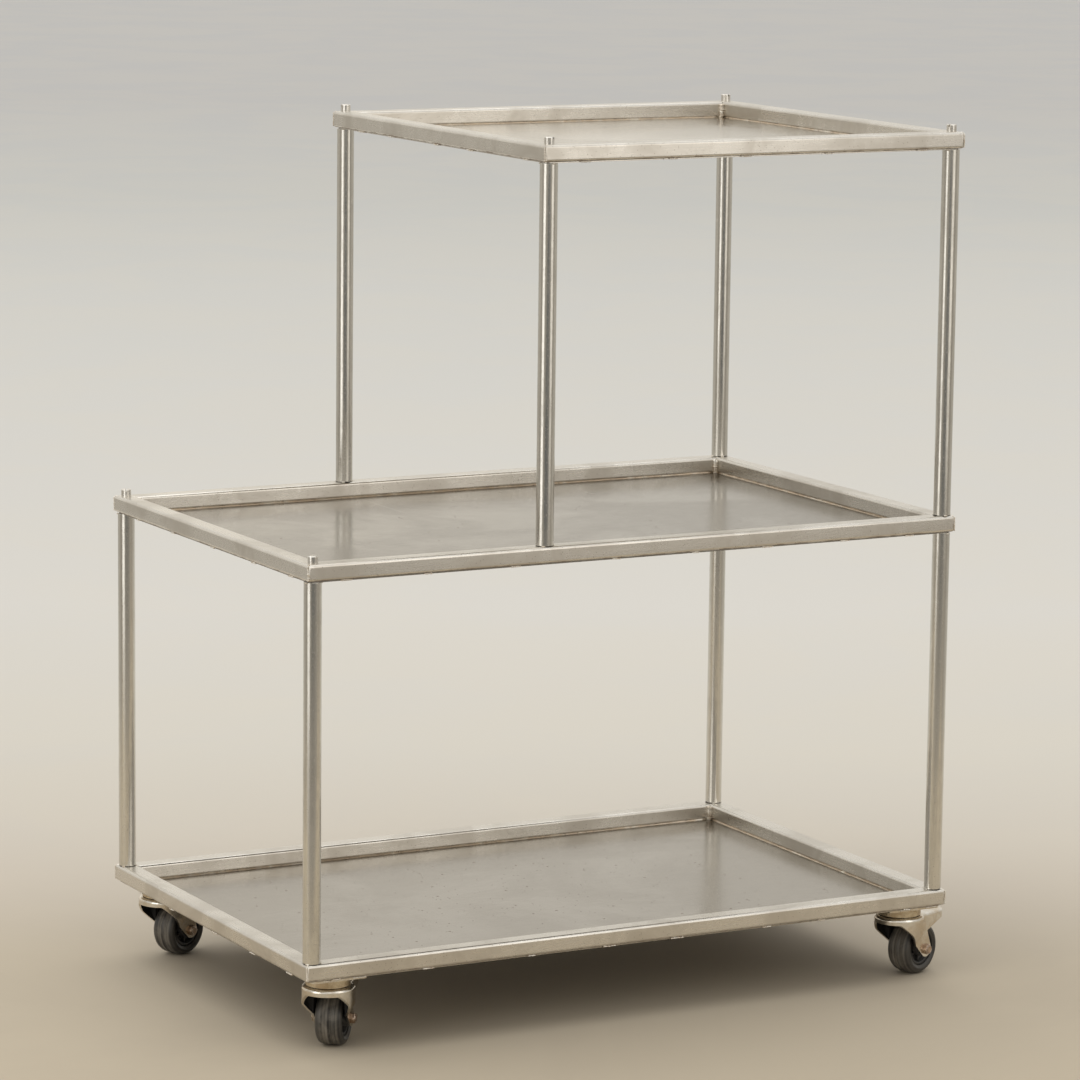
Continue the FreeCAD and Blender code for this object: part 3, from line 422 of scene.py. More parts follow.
# Painted shade: the posts' nearly black lines where they meet the trays.
post_steel = steel("post_drawn", (0.74, 0.72, 0.67), (0.64, 0.62, 0.57), 0.16, (500.0, 500.0, 60.0),
                   smudge=(18.0, 0.3), scratch=(30.0, 0.15), pit=(800.0, 0.25), grain_depth=0.03 * mm,
                   grain_change=0.06, smear=0.05, stain_and_shade=post_end_shade, stain_and_shade_colour=(0.05, 0.04, 0.03))
screw_steel = steel("screw_polished", (0.82, 0.80, 0.76), (0.66, 0.62, 0.56), 0.16,
                    (900.0, 900.0, 300.0), smudge=(120.0, 0.4), pit=(1500.0, 0.1), wear=0.3 * mm)
hidden_steel = steel("inner_turned", (0.50, 0.49, 0.47), (0.40, 0.38, 0.35), 0.4,
                     (300.0, 300.0, 900.0))
nickel = steel("caster_nickel", (0.78, 0.75, 0.69), (0.62, 0.53, 0.41), 0.13, (260.0, 260.0, 260.0),
               smudge=(45.0, 0.5), scratch=(80.0, 0.3), pit=(900.0, 0.15), wear=0.6 * mm,
               grain_change=0.06, smear=0.08)
race_zinc = steel("race_zinc", (0.66, 0.57, 0.42), (0.44, 0.34, 0.22), 0.24, (400.0, 400.0, 400.0),
                  smudge=(90.0, 0.5), pit=(1200.0, 0.2), wear=0.4 * mm)
nut_zinc = steel("nut_zinc", (0.60, 0.47, 0.37), (0.38, 0.26, 0.18), 0.24, (400.0, 400.0, 400.0),
                 smudge=(120.0, 0.5), pit=(1200.0, 0.2), wear=0.4 * mm)
ball_steel = steel("ball_polished", (0.75, 0.74, 0.72), (0.60, 0.56, 0.50), 0.12,
                   (500.0, 500.0, 500.0))
weld_steel = steel("weld_bead", (0.87, 0.84, 0.78), (0.60, 0.52, 0.42), 0.22, (900.0, 900.0, 900.0),
                   smudge=(150.0, 0.5), pit=(1100.0, 0.25), wear=0.3 * mm)
print("small steels ready")

# %% [markdown]
# The inner faces of the legs, the lip and the hood are painted black: painted shade for the deep
# shadow inside a caster. The mask takes every face that looks at the axle's middle or down from the
# crown, so it needs each caster's own centre and axle direction, which the joints give. A normal is a
# direction in the room, so it is first turned back with the fork, or the black would slip off when it
# swivels.

# %% Black insides of the forks
fork_inside, ins, outs = new_group("fork_inside", {"Centre": (0.0, 0.0, 0.0), "Axle": (0.0, 1.0, 0.0),
                                                   "Trail": (1.0, 0.0, 0.0), "Under": 0.05})
leg_inside = 8 * mm  # a face that looks at the wheel's middle from further out is a leg's
skirt_inside = 16 * mm  # a face that looks at the wheel's middle line from further out is the lip's
fold_reach = 21.8 * mm  # the fold's faces lie nearer than this
facing = add_node(fork_inside, "NewGeometry").outputs["Normal"]
normal = add_node(fork_inside, "VectorTransform", {"vector_type": "NORMAL", "convert_from": "WORLD",
                                                   "convert_to": "OBJECT"}, Vector=facing).outputs[0]
offset = vector_maths(fork_inside, "SUBTRACT", ins["Vector"], ins["Centre"])
level_offset = vector_maths(fork_inside, "MULTIPLY", offset, (1.0, 1.0, 0.0))
along_axle = vector_maths(fork_inside, "DOT_PRODUCT", level_offset, ins["Axle"])
facing_out = vector_maths(fork_inside, "DOT_PRODUCT", normal, ins["Axle"])
looking_in = maths(fork_inside, "MULTIPLY", along_axle, facing_out)
legs = maths(fork_inside, "LESS_THAN", looking_in, -leg_inside)
outward = vector_maths(fork_inside, "DOT_PRODUCT", level_offset, normal)
skirt = maths(fork_inside, "LESS_THAN", outward, -skirt_inside)
normal_up = add_node(fork_inside, "SeparateXYZ", Vector=normal).outputs["Z"]
down = maths(fork_inside, "LESS_THAN", normal_up, -0.7)
height = add_node(fork_inside, "SeparateXYZ", Vector=ins["Vector"]).outputs["Z"]
raised = maths(fork_inside, "GREATER_THAN", height, ins["Under"])
roof = maths(fork_inside, "MULTIPLY", down, raised)
backward = vector_maths(fork_inside, "DOT_PRODUCT", normal, ins["Trail"])
forward = maths(fork_inside, "LESS_THAN", backward, -0.85)
within = maths(fork_inside, "LESS_THAN", vector_maths(fork_inside, "LENGTH", level_offset), fold_reach)
fold = maths(fork_inside, "MULTIPLY", forward, within)
inside = maths(fork_inside, "MAXIMUM", maths(fork_inside, "MAXIMUM", legs, skirt), fold)
fork_inside.links.new(maths(fork_inside, "MAXIMUM", inside, roof), outs["Mask"])


def caster_joints(spot):
    """A caster's swivel and roll joints."""
    return [next(joint for joint in frame["joints"] if joint["name"] == spot + "_" + kind)
            for kind in ("swivel", "roll")]


def fork_steel(spot):
    """Nickel outside, with painted shade making it black inside."""
    swivel, roll = caster_joints(spot)
    trail = Vector(roll["pos_m"]) - Vector(swivel["pos_m"])
    trail.z = 0
    trail.normalize()

    # Painted shade: inner faces and faces under the crown turn nearly black.
    def painted_shade_inside(tree, place):
        return use_group(tree, fork_inside, Vector=place, Centre=tuple(swivel["pos_m"]),
                         Axle=tuple(roll["axis"]), Trail=tuple(trail),
                         Under=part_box(spot + "_fork")[1].z - 4 * mm)

    return steel(spot + "_fork_nickel", (0.80, 0.77, 0.71), (0.64, 0.55, 0.43), 0.12,
                 (260.0, 260.0, 260.0), smudge=(45.0, 0.5), scratch=(80.0, 0.3), pit=(900.0, 0.15),
                 wear=0.6 * mm, grain_change=0.06, smear=0.08, stain_and_shade=painted_shade_inside,
                 stain_and_shade_colour=(0.012, 0.011, 0.010))


print("fork steels ready")

# %% [markdown]
# ## Rubber and moulded plastic
#
# A used tyre is dark grey rather than black. Dust sits in its grooves and dulls the tread in bands
# round the wheel. The bands follow the place across the width. Each caster stands turned its own way,
# so no object coordinate gives that place, and every point of a wheel keeps it as an attribute.


# %% Rubber and plastic recipes
def soft_black(name, colour, dust_colour, roughness, dusty, scale):
    """Rubber or plastic with dust. Its mesh holds each point's place across the width."""
    material = bpy.data.materials.new(name)
    material.use_nodes = True
    tree = material.node_tree
    shader = tree.nodes["Principled BSDF"]
    place = add_node(tree, "TexCoord").outputs["Object"]
    band = add_node(tree, "Attribute", {"attribute_name": "across"}).outputs["Fac"]
    bands = add_node(tree, "TexNoise", {"noise_dimensions": "1D"}, W=band, Scale=420.0, Detail=2.0)
    patch = use_group(tree, smudges, Vector=place, Scale=scale, Cover=0.6)
    ring = remap(tree, bands.outputs["Fac"], 0.42, 0.62)
    dust = maths(tree, "MULTIPLY", maths(tree, "ADD", maths(tree, "MULTIPLY", ring, 0.6),
                                         maths(tree, "MULTIPLY", patch, 0.5)), dusty, clamp=True)
    tread = remap(tree, maths(tree, "ABSOLUTE", band), 7 * mm, 10 * mm, 1.0, 0.25)
    dust = maths(tree, "MULTIPLY", dust, tread)
    nick = use_group(tree, pits, Vector=place, Scale=420.0, Amount=0.12)
    rubbed = use_group(tree, worn_edges, Vector=place, Width=0.5 * mm)
    tone = blend_colours(tree, dust, (*colour, 1), (*dust_colour, 1))
    tone = blend_colours(tree, maths(tree, "MULTIPLY", rubbed, 0.25), tone, (*dust_colour, 1))
    tree.links.new(tone, shader.inputs["Base Color"])
    rough = maths(tree, "ADD", roughness, maths(tree, "MULTIPLY", dust, 0.3), clamp=True)
    tree.links.new(rough, shader.inputs["Roughness"])
    fine = use_group(tree, grain, Vector=place, Stretch=(1400.0, 1400.0, 1400.0))
    height = maths(tree, "SUBTRACT", fine, maths(tree, "MULTIPLY", nick, 2.0))
    bump = add_node(tree, "Bump", Height=height, Strength=0.5, Distance=0.08 * mm)
    tree.links.new(bump.outputs["Normal"], shader.inputs["Normal"])
    return material


tyre_rubber = soft_black("tyre_rubber", (0.020, 0.019, 0.018), (0.21, 0.19, 0.16), 0.36, 0.9, 45.0)
hub_plastic = soft_black("hub_plastic", (0.018, 0.018, 0.018), (0.10, 0.09, 0.08), 0.38, 0.3, 70.0)
print("rubber and plastic ready")

# %% [markdown]
# ## Dressing the solids
#
# The solids that already have the right form keep their place and get a material, and two modifiers
# that only soften them: Weld joins their loose triangles and Bevel rounds the edges as grinding or
# pressing did. Rebuilding a straight tube by hand would add nothing.


# %% Dress the CAD nodes
def dress(node, material, round_by=None, steps=2):
    """Give a CAD node its material and softened edges."""
    piece = frame["nodes"][node]
    piece.data.materials.clear()
    piece.data.materials.append(material)
    piece.data.polygons.foreach_set("use_smooth", [True] * len(piece.data.polygons))
    weld = piece.modifiers.new("join", "WELD")
    weld.merge_threshold = 0.001 * mm
    if round_by:
        bevel = piece.modifiers.new("round", "BEVEL")
        bevel.width = round_by
        bevel.segments = steps
        bevel.limit_method = "ANGLE"
        bevel.angle_limit = math.radians(35)
        bevel.use_clamp_overlap = True
    shading = piece.modifiers.new("shading", "WEIGHTED_NORMAL")
    shading.keep_sharp = True


spots = ("front_left", "rear_left", "front_right", "rear_right")
for level in levels:
    for side, way in (("front", "x"), ("rear", "x"), ("left", "y"), ("right", "y")):
        dress("{0}_tray_{1}_rail".format(level, side), steels[level, way], 0.25 * mm)
    dress(level + "_tray_sheet", steels[level, "sheet"], 0.2 * mm)
for spot in spots:
    dress("lower_{0}_post".format(spot), post_steel, 0.3 * mm)
    dress("upper_{0}_post".format(spot), post_steel, 0.3 * mm)
    dress(spot + "_caster_plate", nickel, 0.35 * mm)
    dress(spot + "_fork", fork_steel(spot), 0.7 * mm, 3)
    dress(spot + "_axle_sleeve", hidden_steel)
    dress(spot + "_axle_bolt", nut_zinc, 0.3 * mm)
    dress(spot + "_axle_nut", nut_zinc, 0.4 * mm)
dress("post_plugs", hidden_steel)
dress("joining_studs", hidden_steel)
dress("slotted_screws", screw_steel, 0.2 * mm)
dress("flush_screws", screw_steel, 0.15 * mm)
dress("race_rings", race_zinc, 0.35 * mm)
dress("kingpins", nickel, 0.3 * mm)
dress("bearing_balls", ball_steel)
print("dressed", len(frame["nodes"]), "nodes")

# %% [markdown]
# ## Weld beads
#
# A weld bead is a row of small pools of steel, each frozen on the last one. Rows of flattened balls
# that overlap give the same ripples from one operator. A swept tube with bump would be smoother than
# the real thing. Beads stand in the inner corners of each tray and along the underside, where short
# tacks hold the sheet to the rails.


# %% Bead helpers
def add_pool(mesh, centre, size):
    """One frozen pool: a small ball with its own size along each axis."""
    place = Matrix.Translation(centre) @ Matrix.Diagonal((*size, 1))
    bmesh.ops.create_icosphere(mesh, subdivisions=2, radius=1, matrix=place)


def add_bead(mesh, draw, start, finish, size, ripple):
    """Overlapping pools from start to finish, with a little wander."""
    count = max(1, round((finish - start).length / ripple))
    for step in range(count + 1):
        centre = start.lerp(finish, step / count)
        wander = Vector([draw.uniform(-0.15, 0.15) * s for s in size])
        swell = draw.uniform(0.82, 1.18)
        add_pool(mesh, centre + wander, [s * swell for s in size])


def finish_piece(name, mesh, material, body):
    """Turn a bmesh into a piece that rides on a body."""
    data = bpy.data.meshes.new(name)
    for face in mesh.faces:
        face.smooth = True
    mesh.to_mesh(data)
    mesh.free()
    data.materials.append(material)
    piece = bpy.data.objects.new(name, data)
    bpy.context.scene.collection.objects.link(piece)
    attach(piece, body)
    return piece


print("bead helpers ready")

# %% [markdown]
# A short upright bead closes each inner corner, from the sheet nearly to the top of the rails. The
# one at the rear right was laid thicker than the others. Thickness and height vary a little, as they
# do by hand, and the chance has a seed so that it comes out the same each time.

# %% Inner corner beads
draw = random.Random(11)
for level in levels:
    middle, half = tray_box(level)
    beads = bmesh.new()
    rail_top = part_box(level + "_tray_front_rail")[1].z
    for x_side in (-1, 1):
        for y_side in (-1, 1):
            corner = Vector((middle.x + x_side * (half.x - 0.4 * mm),
                             middle.y + y_side * (half.y - 0.4 * mm), 0))
            fat = (3.0 if (x_side, y_side) == (1, 1) else draw.uniform(1.3, 2.1)) * mm
            corner -= Vector((x_side, y_side, 0)) * (fat - 1.2 * mm) * 0.6
            foot = corner + Vector((0, 0, middle.z + 0.6 * mm))
            head = corner + Vector((0, 0, rail_top - draw.uniform(1.5, 4.0) * mm))
            add_bead(beads, draw, foot, head, (fat, fat, 1.1 * mm), 1.1 * mm)
    finish_piece(level + "_tray_corner_welds", beads, weld_steel, "frame")
    print(level, "corner beads done")

# %% [markdown]
# Between the corners a narrow seam closes the groove where the round lower edge of a tube meets the
# sheet. It is one strip with a hollow face, and its width wanders as a hand-laid seam's does.

# %% Seams along the sheets
seam_steel = steel("seam_dull", (0.74, 0.69, 0.60), (0.56, 0.45, 0.33), 0.30, (300.0, 300.0, 300.0),
                   smudge=(60.0, 0.7), scratch=(30.0, 0.1), pit=(500.0, 0.3), wear=0.3 * mm,
                   grain_depth=0.03 * mm)


def add_seam(mesh, draw, start, finish, inward, reach):
    """A strip with a hollow face along an inner corner. Inward points from the rail over the sheet."""
    count = max(8, round((finish - start).length / (9 * mm)))
    rise = Vector((0, 0, 1))
    rows = []
    for step in range(count + 1):
        foot = start.lerp(finish, step / count)
        size = reach * draw.uniform(0.75, 1.2)
        hollow = [(1 - math.sin(turn)) * size * inward + (1 - math.cos(turn)) * size * rise
                  for turn in (0, math.tau / 16, math.tau / 8, math.tau * 3 / 16, math.tau / 4)]
        outline = [foot - 1.6 * mm * inward, *[foot + offset for offset in hollow],
                   foot - 1.6 * mm * inward + 0.8 * mm * rise]
        rows.append([mesh.verts.new(point) for point in outline])
    for first, second in zip(rows, rows[1:]):
        for index in range(len(first)):
            following = (index + 1) % len(first)
            mesh.faces.new((first[index], first[following], second[following], second[index]))
    mesh.faces.new(rows[0])
    mesh.faces.new(rows[-1])


for level in levels:
    middle, half = tray_box(level)
    strips = bmesh.new()
    for x_side in (-1, 1):
        face = middle + Vector((x_side * half.x, 0, 0))
        add_seam(strips, draw, face - Vector((0, half.y, 0)), face + Vector((0, half.y, 0)),
                 Vector((-x_side, 0, 0)), 0.9 * mm)
    for y_side in (-1, 1):
        face = middle + Vector((0, y_side * half.y, 0))
        add_seam(strips, draw, face - Vector((half.x, 0, 0)), face + Vector((half.x, 0, 0)),
                 Vector((0, -y_side, 0)), 0.9 * mm)
    bmesh.ops.recalc_face_normals(strips, faces=strips.faces)
    finish_piece(level + "_tray_sheet_seams", strips, seam_steel, "frame")
    print(level, "sheet seams done")

# %% [markdown]
# Each mitre is welded on the outside too and then ground flush. What stays is a slim, slightly
# proud seam on the vertical corner and across the top, broken where a post or a screw stands on it.

# %% Ground mitre seams
post_reach = 8.6 * mm  # a post's radius and a little more, where the seam stops
for level in levels:
    middle, half = tray_box(level)
    seams = bmesh.new()
    low, high = [corner.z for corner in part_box(level + "_tray_front_rail")]
    for x_side in (-1, 1):
        for y_side in (-1, 1):
            inner = Vector((middle.x + x_side * half.x, middle.y + y_side * half.y, high - 0.25 * mm))
            way = Vector((x_side, y_side, 0))
            outer = inner + way * (rail_inside - 1.6 * mm)
            post = inner + way * (rail_inside / 2)
            reach = way.normalized() * post_reach
            flat = (0.9 * mm, 0.9 * mm, 0.42 * mm)
            add_bead(seams, draw, inner + way * 1.4 * mm, post - reach, flat, 0.7 * mm)
            add_bead(seams, draw, post + reach, outer, flat, 0.7 * mm)
            edge = inner + way * (rail_inside - 0.35 * mm)
            upright = (0.6 * mm, 0.6 * mm, 0.8 * mm)
            add_bead(seams, draw, Vector((edge.x, edge.y, low + 1.6 * mm)),
                     Vector((edge.x, edge.y, high - 1.8 * mm)), upright, 0.8 * mm)
            if (x_side, y_side) == (-1, -1):
                inward = inner + way * (rail_inside - 1.45 * mm)
                fat = (1.5 * mm, 1.5 * mm, 0.9 * mm)
                add_bead(seams, draw, Vector((inward.x, inward.y, low + 1.5 * mm)),
                         Vector((inward.x, inward.y, low + 8 * mm)), fat, 0.9 * mm)
    finish_piece(level + "_tray_mitre_welds", seams, weld_steel, "frame")
    print(level, "mitre seams done")

# %% [markdown]
# From below, short tacks hold the sheet's edges to the rails. They could be spaced with an array,
# but real ones sit at uneven distances, so each is shifted by chance within its own share of the
# edge.

# %% Tacks under the rails
for level in levels:
    tacks = bmesh.new()
    low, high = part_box(level + "_tray_sheet")
    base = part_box(level + "_tray_front_rail")[0].z
    runs = []
    for y, side in ((low.y, -1), (high.y, 1)):
        runs.append((Vector((low.x, y, base)), Vector((high.x, y, base)), Vector((0, side, 0))))
    for x, side in ((low.x, -1), (high.x, 1)):
        runs.append((Vector((x, low.y, base)), Vector((x, high.y, base)), Vector((side, 0, 0))))
    spacing = 85 * mm
    for start, finish, out in runs:
        length = (finish - start).length
        count = round(length / spacing)
        along = (finish - start) / length
        for index in range(count):
            centre = start + along * (length * (index + 0.5 + draw.uniform(-0.2, 0.2)) / count)
            reach = draw.uniform(2.5, 5.5) * mm
            lift = out * 1.2 * mm - Vector((0, 0, 0.3 * mm))
            add_bead(tacks, draw, centre - along * reach + lift, centre + along * reach + lift,
                     (1.3 * mm, 1.3 * mm, 0.75 * mm), 1.2 * mm)
    finish_piece(level + "_tray_sheet_tacks", tacks, weld_steel, "frame")
    print(level, "tacks done")

# %% [markdown]
# Three small tacks hold each end of a post to its tray, and short beads hold each caster's plate.
# They are too small to need a form of their own, so the same pools serve.

# %% Post tacks and caster plate welds
post_tacks = bmesh.new()
for height in ("lower", "upper"):
    for spot in spots:
        low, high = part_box("{0}_{1}_post".format(height, spot))
        centre = (low + high) / 2
        for z, lift in ((low.z, 0.35 * mm), (high.z, -0.35 * mm)):
            turn = draw.uniform(0, math.tau)
            for index in range(3):
                angle = turn + index * math.tau / 3 + draw.uniform(-0.4, 0.4)
                for step in (-1, 0, 1):
                    around = angle + step * 0.12
                    out = Vector((math.cos(around), math.sin(around), 0)) * 8.2 * mm
                    add_pool(post_tacks, Vector((centre.x, centre.y, z + lift)) + out,
                             (0.8 * mm, 0.8 * mm, 0.6 * mm))
finish_piece("post_tacks", post_tacks, weld_steel, "frame")
plate_welds = bmesh.new()
for spot in spots:
    low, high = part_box(spot + "_caster_plate")
    for y, side in ((low.y, -1), (high.y, 1)):
        for share in (0.2, 0.72):
            start = Vector((low.x + (high.x - low.x) * share, y + side * 0.3 * mm, high.z - 0.3 * mm))
            add_bead(plate_welds, draw, start, start + Vector((11 * mm, 0, 0)),
                     (1.1 * mm, 1.2 * mm, 0.9 * mm), 1.1 * mm)
    for x, side in ((low.x, -1), (high.x, 1)):
        start = Vector((x + side * 0.3 * mm, (low.y + high.y) / 2 - 6 * mm, high.z - 0.3 * mm))
        add_bead(plate_welds, draw, start, start + Vector((0, 12 * mm, 0)),
                 (1.2 * mm, 1.1 * mm, 0.9 * mm), 1.1 * mm)
finish_piece("caster_plate_welds", plate_welds, weld_steel, "frame")
print("post tacks and plate welds done")

# %% [markdown]
# ## Wheels
#
# Each tyre is moulded rubber with a low raised seam round its middle, two shallow grooves beside it
# and a step on the side wall. A turned part is one profile spun round its axle. The profile is drawn
# for a wheel on the Y axis and the finished mesh is moved to its axle, turned as its fork is.


# %% Turned wheel parts
def spin_profile(points, steps):
    """Spin a closed profile of (across, radius) in millimetres round the Y axis."""
    mesh = bmesh.new()
    corners = [mesh.verts.new((0, across * mm, radius * mm)) for across, radius in points]
    for first, second in zip(corners, corners[1:] + corners[:1]):
        mesh.edges.new((first, second))
    bmesh.ops.spin(mesh, geom=mesh.verts[:] + mesh.edges[:], cent=(0, 0, 0), axis=(0, 1, 0),
                   dvec=(0, 0, 0), angle=math.tau, steps=steps, use_merge=True, use_duplicate=False)
    bmesh.ops.recalc_face_normals(mesh, faces=mesh.faces)
    return mesh


def store_across(mesh):
    """Keep each point's place across the width, for the bands of dust."""
    layer = mesh.verts.layers.float.new("across")
    for point in mesh.verts:
        point[layer] = point.co.y


def axle_place(spot):
    """The wheel's centre, and its turn about Z, from the two joints of its caster."""
    roll = caster_joints(spot)[1]
    turn = math.atan2(-roll["axis"][0], roll["axis"][1])
    return Matrix.Translation(roll["pos_m"]) @ Matrix.Rotation(turn, 4, "Z")


half_tyre = [(0, 25.0), (0.45, 25.0), (0.7, 24.75), (2.4, 24.72), (2.8, 24.3), (3.5, 24.3), (3.9, 24.68),
             (7.6, 24.45), (9.7, 23.8), (11.1, 22.7), (12.0, 21.3), (12.3, 19.9), (12.3, 19.0),
             (11.8, 18.7), (11.6, 17.6), (11.1, 16.9), (10.3, 16.5)]
tyre_profile = half_tyre + [(-across, radius) for across, radius in reversed(half_tyre[1:])]
print("tyre profile", len(tyre_profile), "points")

# %% [markdown]
# One profile serves all four tyres. Each rides on its own wheel and takes the place of that wheel's
# plain solid tyre, so it rolls and swivels with it.

# %% Tyres
for spot in spots:
    mesh = spin_profile(tyre_profile, 96)
    store_across(mesh)
    mesh.transform(axle_place(spot))
    tyre = finish_piece(spot + "_moulded_tyre", mesh, tyre_rubber, spot + "_wheel_body")
    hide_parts(spot + "_tyre")
    print(spot, "tyre", len(tyre.data.polygons), "faces")

# %% [markdown]
# The hub is black plastic: a rim that holds the tyre, a thin web, and a boss that runs on the axle
# sleeve. Moulders stiffen such a web with ribs, so six ribs join boss and rim on each side.

# %% Hubs
half_hub = [(14.0, 4.3), (14.0, 6.6), (13.6, 7.5), (5.2, 7.9), (4.5, 8.6), (4.5, 12.2), (5.2, 13.2),
            (9.4, 13.5), (10.0, 14.0), (10.0, 16.1), (9.7, 16.5)]
hub_profile = half_hub + [(-across, radius) for across, radius in reversed(half_hub)]
for spot in spots:
    mesh = spin_profile(hub_profile, 64)
    for index in range(6):
        turn = Matrix.Rotation(index * math.tau / 6, 4, "Y")
        rib = Matrix.Translation((0, 0, 10.4 * mm)) @ Matrix.Diagonal((1.4 * mm, 15.6 * mm, 6.4 * mm, 1))
        made = bmesh.ops.create_cube(mesh, size=1, matrix=turn @ rib)
        rib_edges = [edge for edge in mesh.edges if all(v in made["verts"] for v in edge.verts)]
        bmesh.ops.bevel(mesh, geom=rib_edges, offset=0.3 * mm, offset_type="OFFSET", segments=2,
                        profile=0.5, affect="EDGES", clamp_overlap=True, material=-1)
    store_across(mesh)
    mesh.transform(axle_place(spot))
    hub = finish_piece(spot + "_ribbed_hub", mesh, hub_plastic, spot + "_wheel_body")
    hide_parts(spot + "_wheel_hub")
print("hubs done")

# %% [markdown]
# ## Floor and backdrop
#
# The studio is one roll of pale paper on a dark floor. The paper is tan under the trolley, paler a
# few steps behind it and grey in the distance, and a long lens sees nothing else. It ends a step in
# front of the trolley and to either side. Where the photographer stands the floor is painted nearly
# black, as painted shade of the unlit front of the studio. That part is out of view, but the steel
# mirrors it: it is the dark core of the upper posts. One large disc does for all, with its colour
# set by where a point lies along and across the view.

# %% Floor
away = Vector((0.4652, 0.8852, 0))
aside = Vector((0.8852, -0.4652, 0))
floor_mesh = bmesh.new()
bmesh.ops.create_circle(floor_mesh, cap_ends=True, segments=96, radius=80)
floor_data = bpy.data.meshes.new("floor")
floor_mesh.to_mesh(floor_data)
floor_mesh.free()
floor = bpy.data.objects.new("floor", floor_data)
bpy.context.scene.collection.objects.link(floor)
floor_paint = bpy.data.materials.new("floor_paint")
floor_paint.use_nodes = True
tree = floor_paint.node_tree
shader = tree.nodes["Principled BSDF"]
place = add_node(tree, "TexCoord").outputs["Object"]
depth = vector_maths(tree, "DOT_PRODUCT", place, tuple(away))
across = vector_maths(tree, "DOT_PRODUCT", place, tuple(aside))
width = maths(tree, "ABSOLUTE", across)
paper = add_node(tree, "ValToRGB", Fac=maths(tree, "MULTIPLY_ADD", depth, 0.05, 0.05))
stops = paper.color_ramp
shades = [(0.0, (0.49, 0.418, 0.312)), (0.05, (0.508, 0.445, 0.355)), (0.068, (0.59, 0.535, 0.465)),
          (0.078, (0.62, 0.575, 0.51)), (0.1, (0.65, 0.62, 0.565)), (0.145, (0.675, 0.655, 0.62)),
          (0.25, (0.64, 0.63, 0.605)), (0.33, (0.605, 0.60, 0.58)), (0.445, (0.535, 0.535, 0.52)),
          (0.62, (0.49, 0.485, 0.482))]
while len(stops.elements) < len(shades):
    stops.elements.new(0.5)
for element, (at, shade) in zip(stops.elements, shades):
    element.position = at
    element.color = (*shade, 1)
stains = maths(tree, "MULTIPLY", use_group(tree, smudges, Vector=place, Scale=2.2, Cover=0.5), 0.07)
shade = blend_colours(tree, stains, paper.outputs["Color"], (0.75, 0.66, 0.5, 1))
spread = maths(tree, "MULTIPLY", maths(tree, "MAXIMUM", depth, 0.0), 0.16)
on_paper = maths(tree, "MULTIPLY", remap(tree, depth, -0.95, -0.75),
                 remap(tree, maths(tree, "SUBTRACT", width, spread), 1.3, 1.45, 1.0, 0.0))
bare = blend_colours(tree, remap(tree, depth, -0.8, 0.6), (0.30, 0.275, 0.24, 1),
                     (0.46, 0.435, 0.395, 1))
# Painted shade: the floor turns nearly black round the place where the photographer stands.
from_camera = maths(tree, "ABSOLUTE", maths(tree, "SUBTRACT", across, 0.8))
gloom = maths(tree, "MULTIPLY", remap(tree, depth, -2.8, -1.5, 1.0, 0.0),
              remap(tree, from_camera, 1.2, 2.2, 1.0, 0.0))
bare = blend_colours(tree, gloom, bare, (0.09, 0.095, 0.10, 1))
tree.links.new(blend_colours(tree, on_paper, bare, shade), shader.inputs["Base Color"])
shader.inputs["Roughness"].default_value = 0.75
shader.inputs["Specular IOR Level"].default_value = 0.1
floor_data.materials.append(floor_paint)
print("floor laid")

# %% [markdown]
# ## Light
#
# Steel shows its surroundings more than its own colour, so the room matters as much as the lamps. The
# walls are pale, with a warm glow low on the left of the rear one that the trays reflect, and the
# ceiling is paler. Steel sees that room, but dull surfaces are lit by a dimmer one, so that the lamps
# keep their shadows. Two upright soft boxes draw the bright stripes down the posts, a white one from
# the left and a dimmer cream one from the right. One broad overhead lamp gives the shadow under the
# trays.

# %% Room
world = bpy.data.worlds.new("studio")
bpy.context.scene.world = world
world.use_nodes = True
tree = world.node_tree
background = tree.nodes["Background"]
look = add_node(tree, "TexCoord").outputs["Generated"]
up = add_node(tree, "SeparateXYZ", Vector=look).outputs["Z"]
ahead = vector_maths(tree, "DOT_PRODUCT", look, tuple(away))
walls = blend_colours(tree, remap(tree, ahead, -0.9, 0.2), (0.80, 0.76, 0.69, 1), (0.62, 0.59, 0.54, 1))
walls = blend_colours(tree, remap(tree, ahead, 0.05, 0.6), walls, (0.82, 0.785, 0.715, 1))
sideways = vector_maths(tree, "DOT_PRODUCT", look, tuple(aside))
glow = maths(tree, "MULTIPLY", remap(tree, sideways, -0.09, 0.07, 1.0, 0.0),
             remap(tree, up, 0.15, 0.26, 1.0, 0.0))
glow = maths(tree, "MULTIPLY", glow, remap(tree, ahead, 0.6, 0.9))
walls = blend_colours(tree, glow, walls, (1.0, 0.93, 0.80, 1))
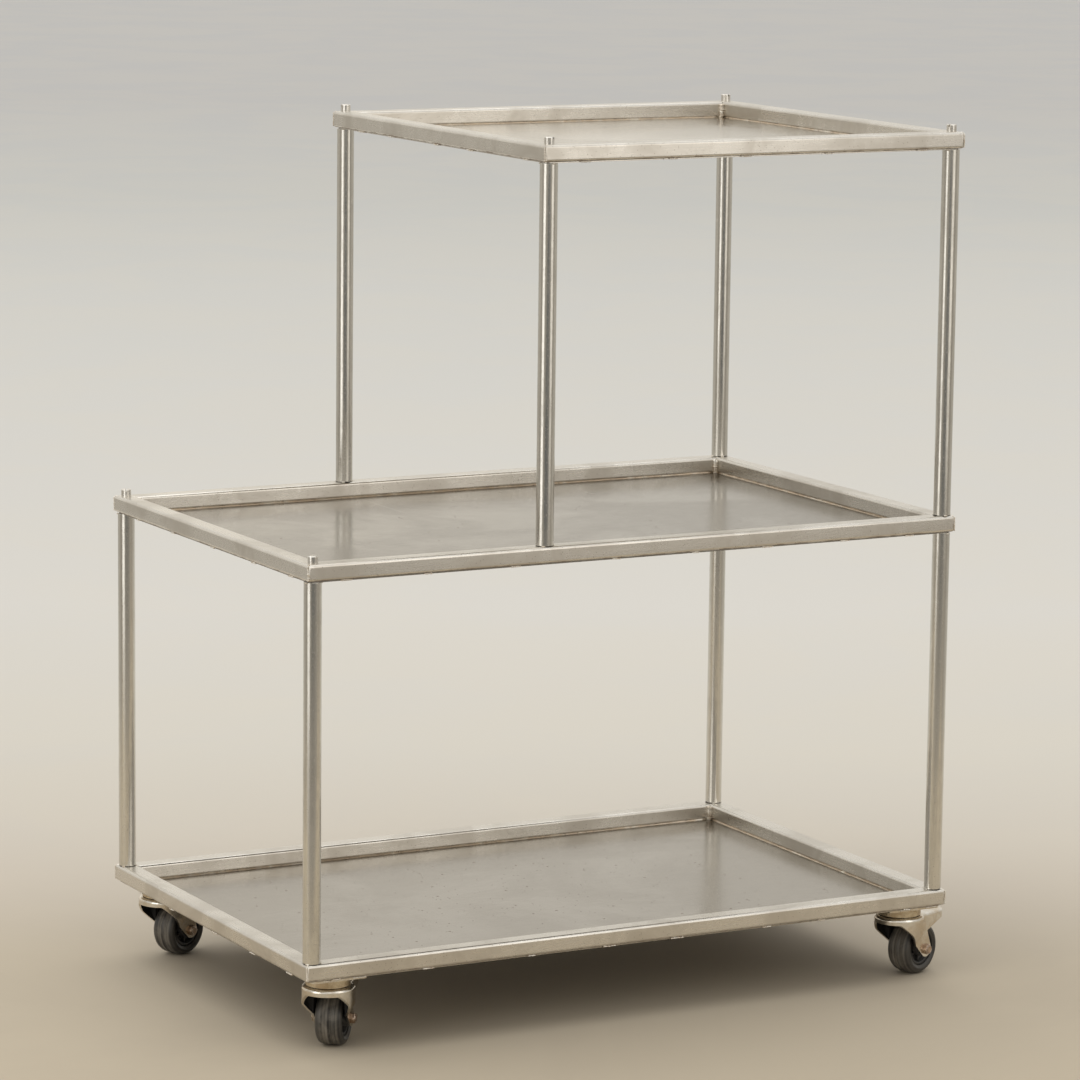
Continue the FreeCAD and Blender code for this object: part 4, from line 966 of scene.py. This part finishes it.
room = blend_colours(tree, remap(tree, up, 0.3, 0.7), walls, (0.90, 0.89, 0.86, 1))
dim = blend_colours(tree, remap(tree, up, 0.12, 0.5), (0.30, 0.295, 0.28, 1), (0.72, 0.71, 0.68, 1))
rays = add_node(tree, "LightPath").outputs
seen = maths(tree, "ADD", rays["Is Camera Ray"], rays["Is Glossy Ray"])
seen = maths(tree, "ADD", seen, rays["Is Transmission Ray"])
tree.links.new(blend_colours(tree, seen, dim, room), background.inputs["Color"])
background.inputs["Strength"].default_value = 1.0
print("room ready")


# %% [markdown]
# Both soft boxes stand upright and face the trolley. A lamp's strength could be set as power, but
# steel mirrors the lamp itself, so the brightness that it mirrors is given here and the power
# follows from the area. The overhead lamp is a wide sun, so its shadow is soft at any distance.

# %% Lamps
def add_lamp(name, place, width, height, base, radiance, tint):
    """An upright soft box that faces the trolley, with its lower edge at a height."""
    data = bpy.data.lights.new(name, "AREA")
    data.shape = "RECTANGLE"
    data.size = width
    data.size_y = height
    data.energy = radiance * math.pi * width * height
    data.color = tint
    lamp = bpy.data.objects.new(name, data)
    lamp.location = (place[0], place[1], base + height / 2)
    lamp.rotation_euler = Vector((-place[0], -place[1], 0)).to_track_quat("-Z", "Y").to_euler()
    bpy.context.scene.collection.objects.link(lamp)
    return lamp


add_lamp("left_box", (-1.81, -0.56), 0.92, 1.9, 0.01, 1.1, (1.0, 0.99, 0.97))
add_lamp("right_box", (0.72, -1.76), 0.95, 2.0, 0.27, 0.72, (1.0, 0.96, 0.90))
overhead_data = bpy.data.lights.new("overhead", "SUN")
overhead_data.energy = 1.15
overhead_data.angle = math.radians(72)
overhead_data.color = (1.0, 0.985, 0.95)
overhead = bpy.data.objects.new("overhead", overhead_data)
overhead.rotation_euler = Vector((0.12, -0.16, -1)).to_track_quat("-Z", "Y").to_euler()
bpy.context.scene.collection.objects.link(overhead)
print("lamps", len(bpy.data.lights))

# %% [markdown]
# ## Finish
#
# The picture's colours stay as written with the Standard view.

# %% Finish
bpy.context.scene.view_settings.view_transform = "Standard"
